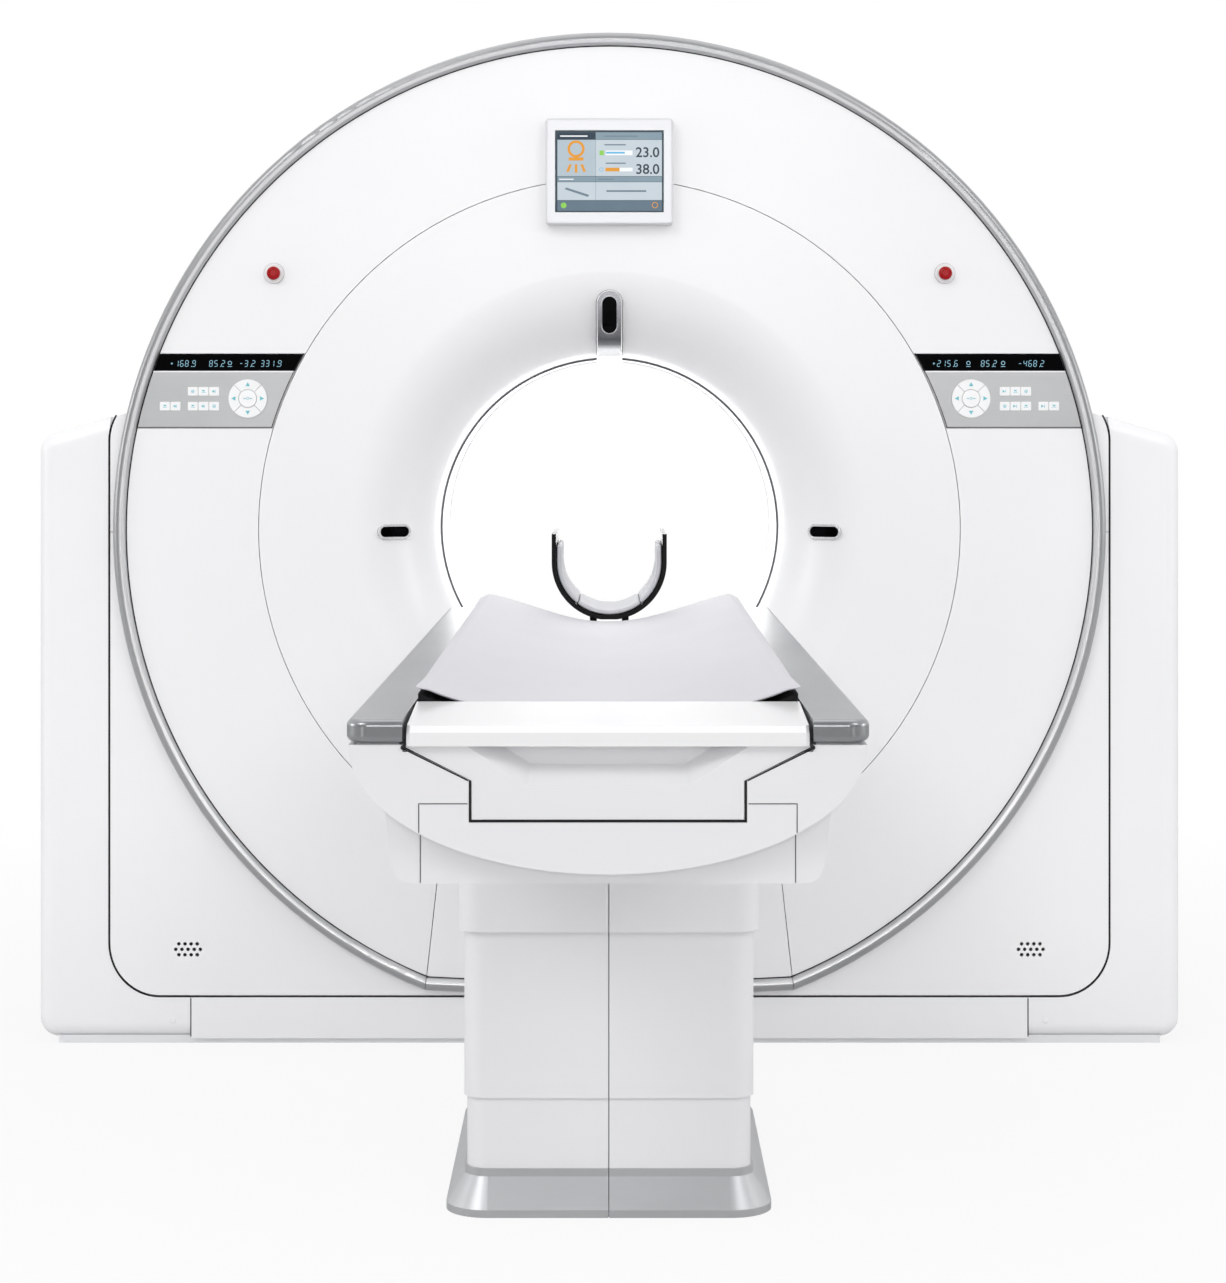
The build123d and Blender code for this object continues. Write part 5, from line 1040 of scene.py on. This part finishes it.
# %% Rims of the side windows
WINDOW_X, WINDOW_Z = 0.436, 1.034  # middle of the right window
SIDE_X, SIDE_R = 0.520, 0.170  # the roll that it sits on: where its axis is, and its radius
lean = math.acos((SIDE_X - WINDOW_X) / SIDE_R)
sloped = np.array([math.sin(lean), -math.cos(lean), 0])
normal = np.array([-math.cos(lean), -math.sin(lean), 0])
middle = np.array([WINDOW_X, ROLL_Y - SIDE_R * math.sin(lean), WINDOW_Z]) + 0.0034 * normal
a, b = stadium(0.0695, 0.0265)
path = middle + a[:, None] * sloped + b[:, None] * np.array([0, 0, 1])
rim = bead_points(path, np.repeat(normal[None], len(path), 0), 0.0012)
for side, flip in SIDES:
    bead(f"window_rim_{side}", rim * (flip, 1, 1), rim_metal, "silver_trim", True)
print("side windows lean by", round(math.degrees(lean), 1), "degrees")

# %% Black line inside the silver ring: a dark joint and painted shade


def ring_path(inset, y, count=320):
    """Circle inside the silver ring; between the low seams it follows the flatter arc."""
    turn = np.linspace(0, 2 * math.pi, count)
    x, z = (RING_R - inset) * np.sin(turn), ISO_Z + (RING_R - inset) * np.cos(turn)
    flat = FLAT_Z - np.sqrt((FLAT_R - inset) ** 2 - np.clip(x, -0.5, 0.5) ** 2)
    low = (z < ISO_Z) & (np.abs(x) < 0.45)
    return x, np.full(count, y), np.where(low, np.maximum(z, flat), z)


# The black strip covers the groove between ring and panel and the ring's inner edge: partly the dark joint,
# partly painted shade where the inner wall lies in shadow.
line = lip_points(ring_path, 0.0255, 0.0282, FACE_Y - 0.0006, FACE_Y + 0.0002)
outward(piece("ring_line", line.reshape(-1, 3), grid_faces(len(line), 4, True), dark_rubber_and_shade, "gantry", "belt",
              smooth=False))
print("points along the black line:", len(line))

# %% [markdown]
# ## Floor, lamps and camera
# A plain pale floor catches the shadow. The world is white to the camera, darker in front where surfaces
# reflect it, and gives soft light from all round. Two large lamps above and in front model the shapes;
# eight weaker ones fill the front, sides, top, bore, throat and foot. The camera stands level, 6.17 m
# from the bore's middle, and its picture is shifted down, as in the photograph.

# %% Floor


def sheet(name, corners, material):
    """A flat sheet of four corners for the stage."""
    obj = new_object(name, bpy.data.meshes.new(name))
    obj.data.from_pydata(corners, [], [(0, 1, 2, 3)])
    obj.data.materials.append(material)
    return obj


floor_material, tree, shader, place = blank("pale_studio_floor", 0.7)
two_tone(tree, shader, noise(tree, place, 1.5), "#DADADA", "#DEDEDE")
# Far from the scanner the floor turns into the white of the background, for the camera alone.
away = add(tree, "VectorMath", {0: place}, operation="LENGTH").outputs["Value"]
far = add(tree, "MapRange", {"Value": away, "From Min": 1.2, "From Max": 3.4, "To Min": 0.86})
seen = add(tree, "LightPath").outputs["Is Camera Ray"]
seen_far = add(tree, "Math", {0: far, 1: seen}, operation="MULTIPLY")
glow = add(tree, "Emission", {"Color": linear("#FFFFFF"), "Strength": 1.0})
fade = add(tree, "MixShader", {0: seen_far, 1: shader, 2: glow})
tree.links.new(fade.outputs[0], tree.nodes["Material Output"].inputs[0])
SPAN = 30.0
corners = [(-SPAN, -SPAN, 0), (SPAN, -SPAN, 0), (SPAN, SPAN, 0), (-SPAN, SPAN, 0)]
floor = sheet("floor", corners, floor_material)
print("floor reaches", SPAN, "m each way")

# %% World
world = bpy.data.worlds.new("studio")
world.use_nodes = True
bpy.context.scene.world = world
tree = world.node_tree
tree.nodes.clear()
rays = add(tree, "LightPath").outputs
seen = rays["Is Camera Ray"]
for ray in ("Is Glossy Ray", "Is Transmission Ray"):
    seen = add(tree, "Math", {0: seen, 1: rays[ray]}, operation="MAXIMUM")
forward = add(tree, "SeparateXYZ", {0: add(tree, "TexCoord").outputs["Generated"]}).outputs[1]
behind = add(tree, "MapRange", {"Value": forward, "From Min": -0.75, "From Max": 0.25, "To Min": 0.30})
shine = add(tree, "Math", {0: rays["Is Camera Ray"], 1: behind}, operation="MAXIMUM")
soft = add(tree, "Background", {"Color": linear("#FFFFFF"), "Strength": 0.57})
white = add(tree, "Background", {"Color": linear("#FFFFFF"), "Strength": shine})
add(tree, "OutputWorld", {"Surface": add(tree, "MixShader", {0: seen, 1: soft, 2: white})})
print("world strength for light:", round(soft.inputs["Strength"].default_value, 2))

# %% Lamps


def lamp(name, place, aim, size, power):
    """A square area lamp at a place, turned to face a point."""
    light = bpy.data.lights.new(name, "AREA")
    light.shape = "SQUARE"
    light.size = size
    light.energy = power
    obj = new_object(name, light)
    back = np.array(place) - np.array(aim)
    flat = math.hypot(back[0], back[1])
    obj.location = place
    obj.rotation_euler = (math.atan2(flat, back[2]), 0, math.atan2(back[0], -back[1]))
    obj.visible_camera = False
    return obj


lamp("front_left", (-9.0, -13.0, 12.5), (0, -0.5, 1.0), 7.0, 740)
lamp("front_right", (9.0, -12.0, 10.5), (0, -0.5, 1.0), 7.0, 470)
lamp("front", (0, -16.0, 3.5), (0, 0, 1.1), 3.5, 235)
lamp("side_left", (-7.0, -2.6, 2.2), (0, -2.2, 0.6), 2.4, 65)
lamp("side_right", (7.0, -2.6, 2.2), (0, -2.2, 0.6), 2.4, 58)
lamp("top", (0, -1.0, 5.0), (0, -0.8, 0), 4.0, 32)
lamp("bore", (0, 3.2, 1.6), (0, 0, 1.0), 1.6, 18)
lamp("throat", (0, 0.45, 1.04), (0, -2.0, 1.04), 0.4, 1.5)
lamp("low_left", (-2.6, -7.2, 0.4), (0, -2.8, 0.7), 1.0, 7)
lamp("low_right", (2.6, -7.2, 0.4), (0, -2.8, 0.7), 1.0, 6)
print("lamps:", len(bpy.data.lights))

# %% Dark card that the bright metal reflects
card = sheet("dark_card", [(-5, -8, 0), (5, -8, 0), (5, -8, 1.15), (-5, -8, 1.15)], dark_rubber_and_shade)
card.visible_camera = False
print("the card stands behind the camera, which doesn't see it")

# %% Camera
LEVEL, CENTRE, FOCAL = 430.5, 611.5, 2900.0  # the photograph's horizon, middle and focal length in pixels
WIDE, HIGH = 1226, 1283
camera_data = bpy.data.cameras.new("camera")
camera_data.sensor_width = 36.0
camera_data.sensor_fit = "AUTO"
camera_data.lens = FOCAL / HIGH * camera_data.sensor_width
camera_data.shift_x = (WIDE / 2 - CENTRE) / HIGH
camera_data.shift_y = (LEVEL - HIGH / 2) / HIGH
camera = new_object("camera", camera_data)
camera.location = (0.0042, -6.173, 1.239)
camera.rotation_euler = (math.pi / 2, 0, 0)
bpy.context.scene.camera = camera
bpy.context.scene.view_settings.view_transform = "Standard"
print("lens", round(camera_data.lens, 2), "shift", round(camera_data.shift_x, 4),
      round(camera_data.shift_y, 4))
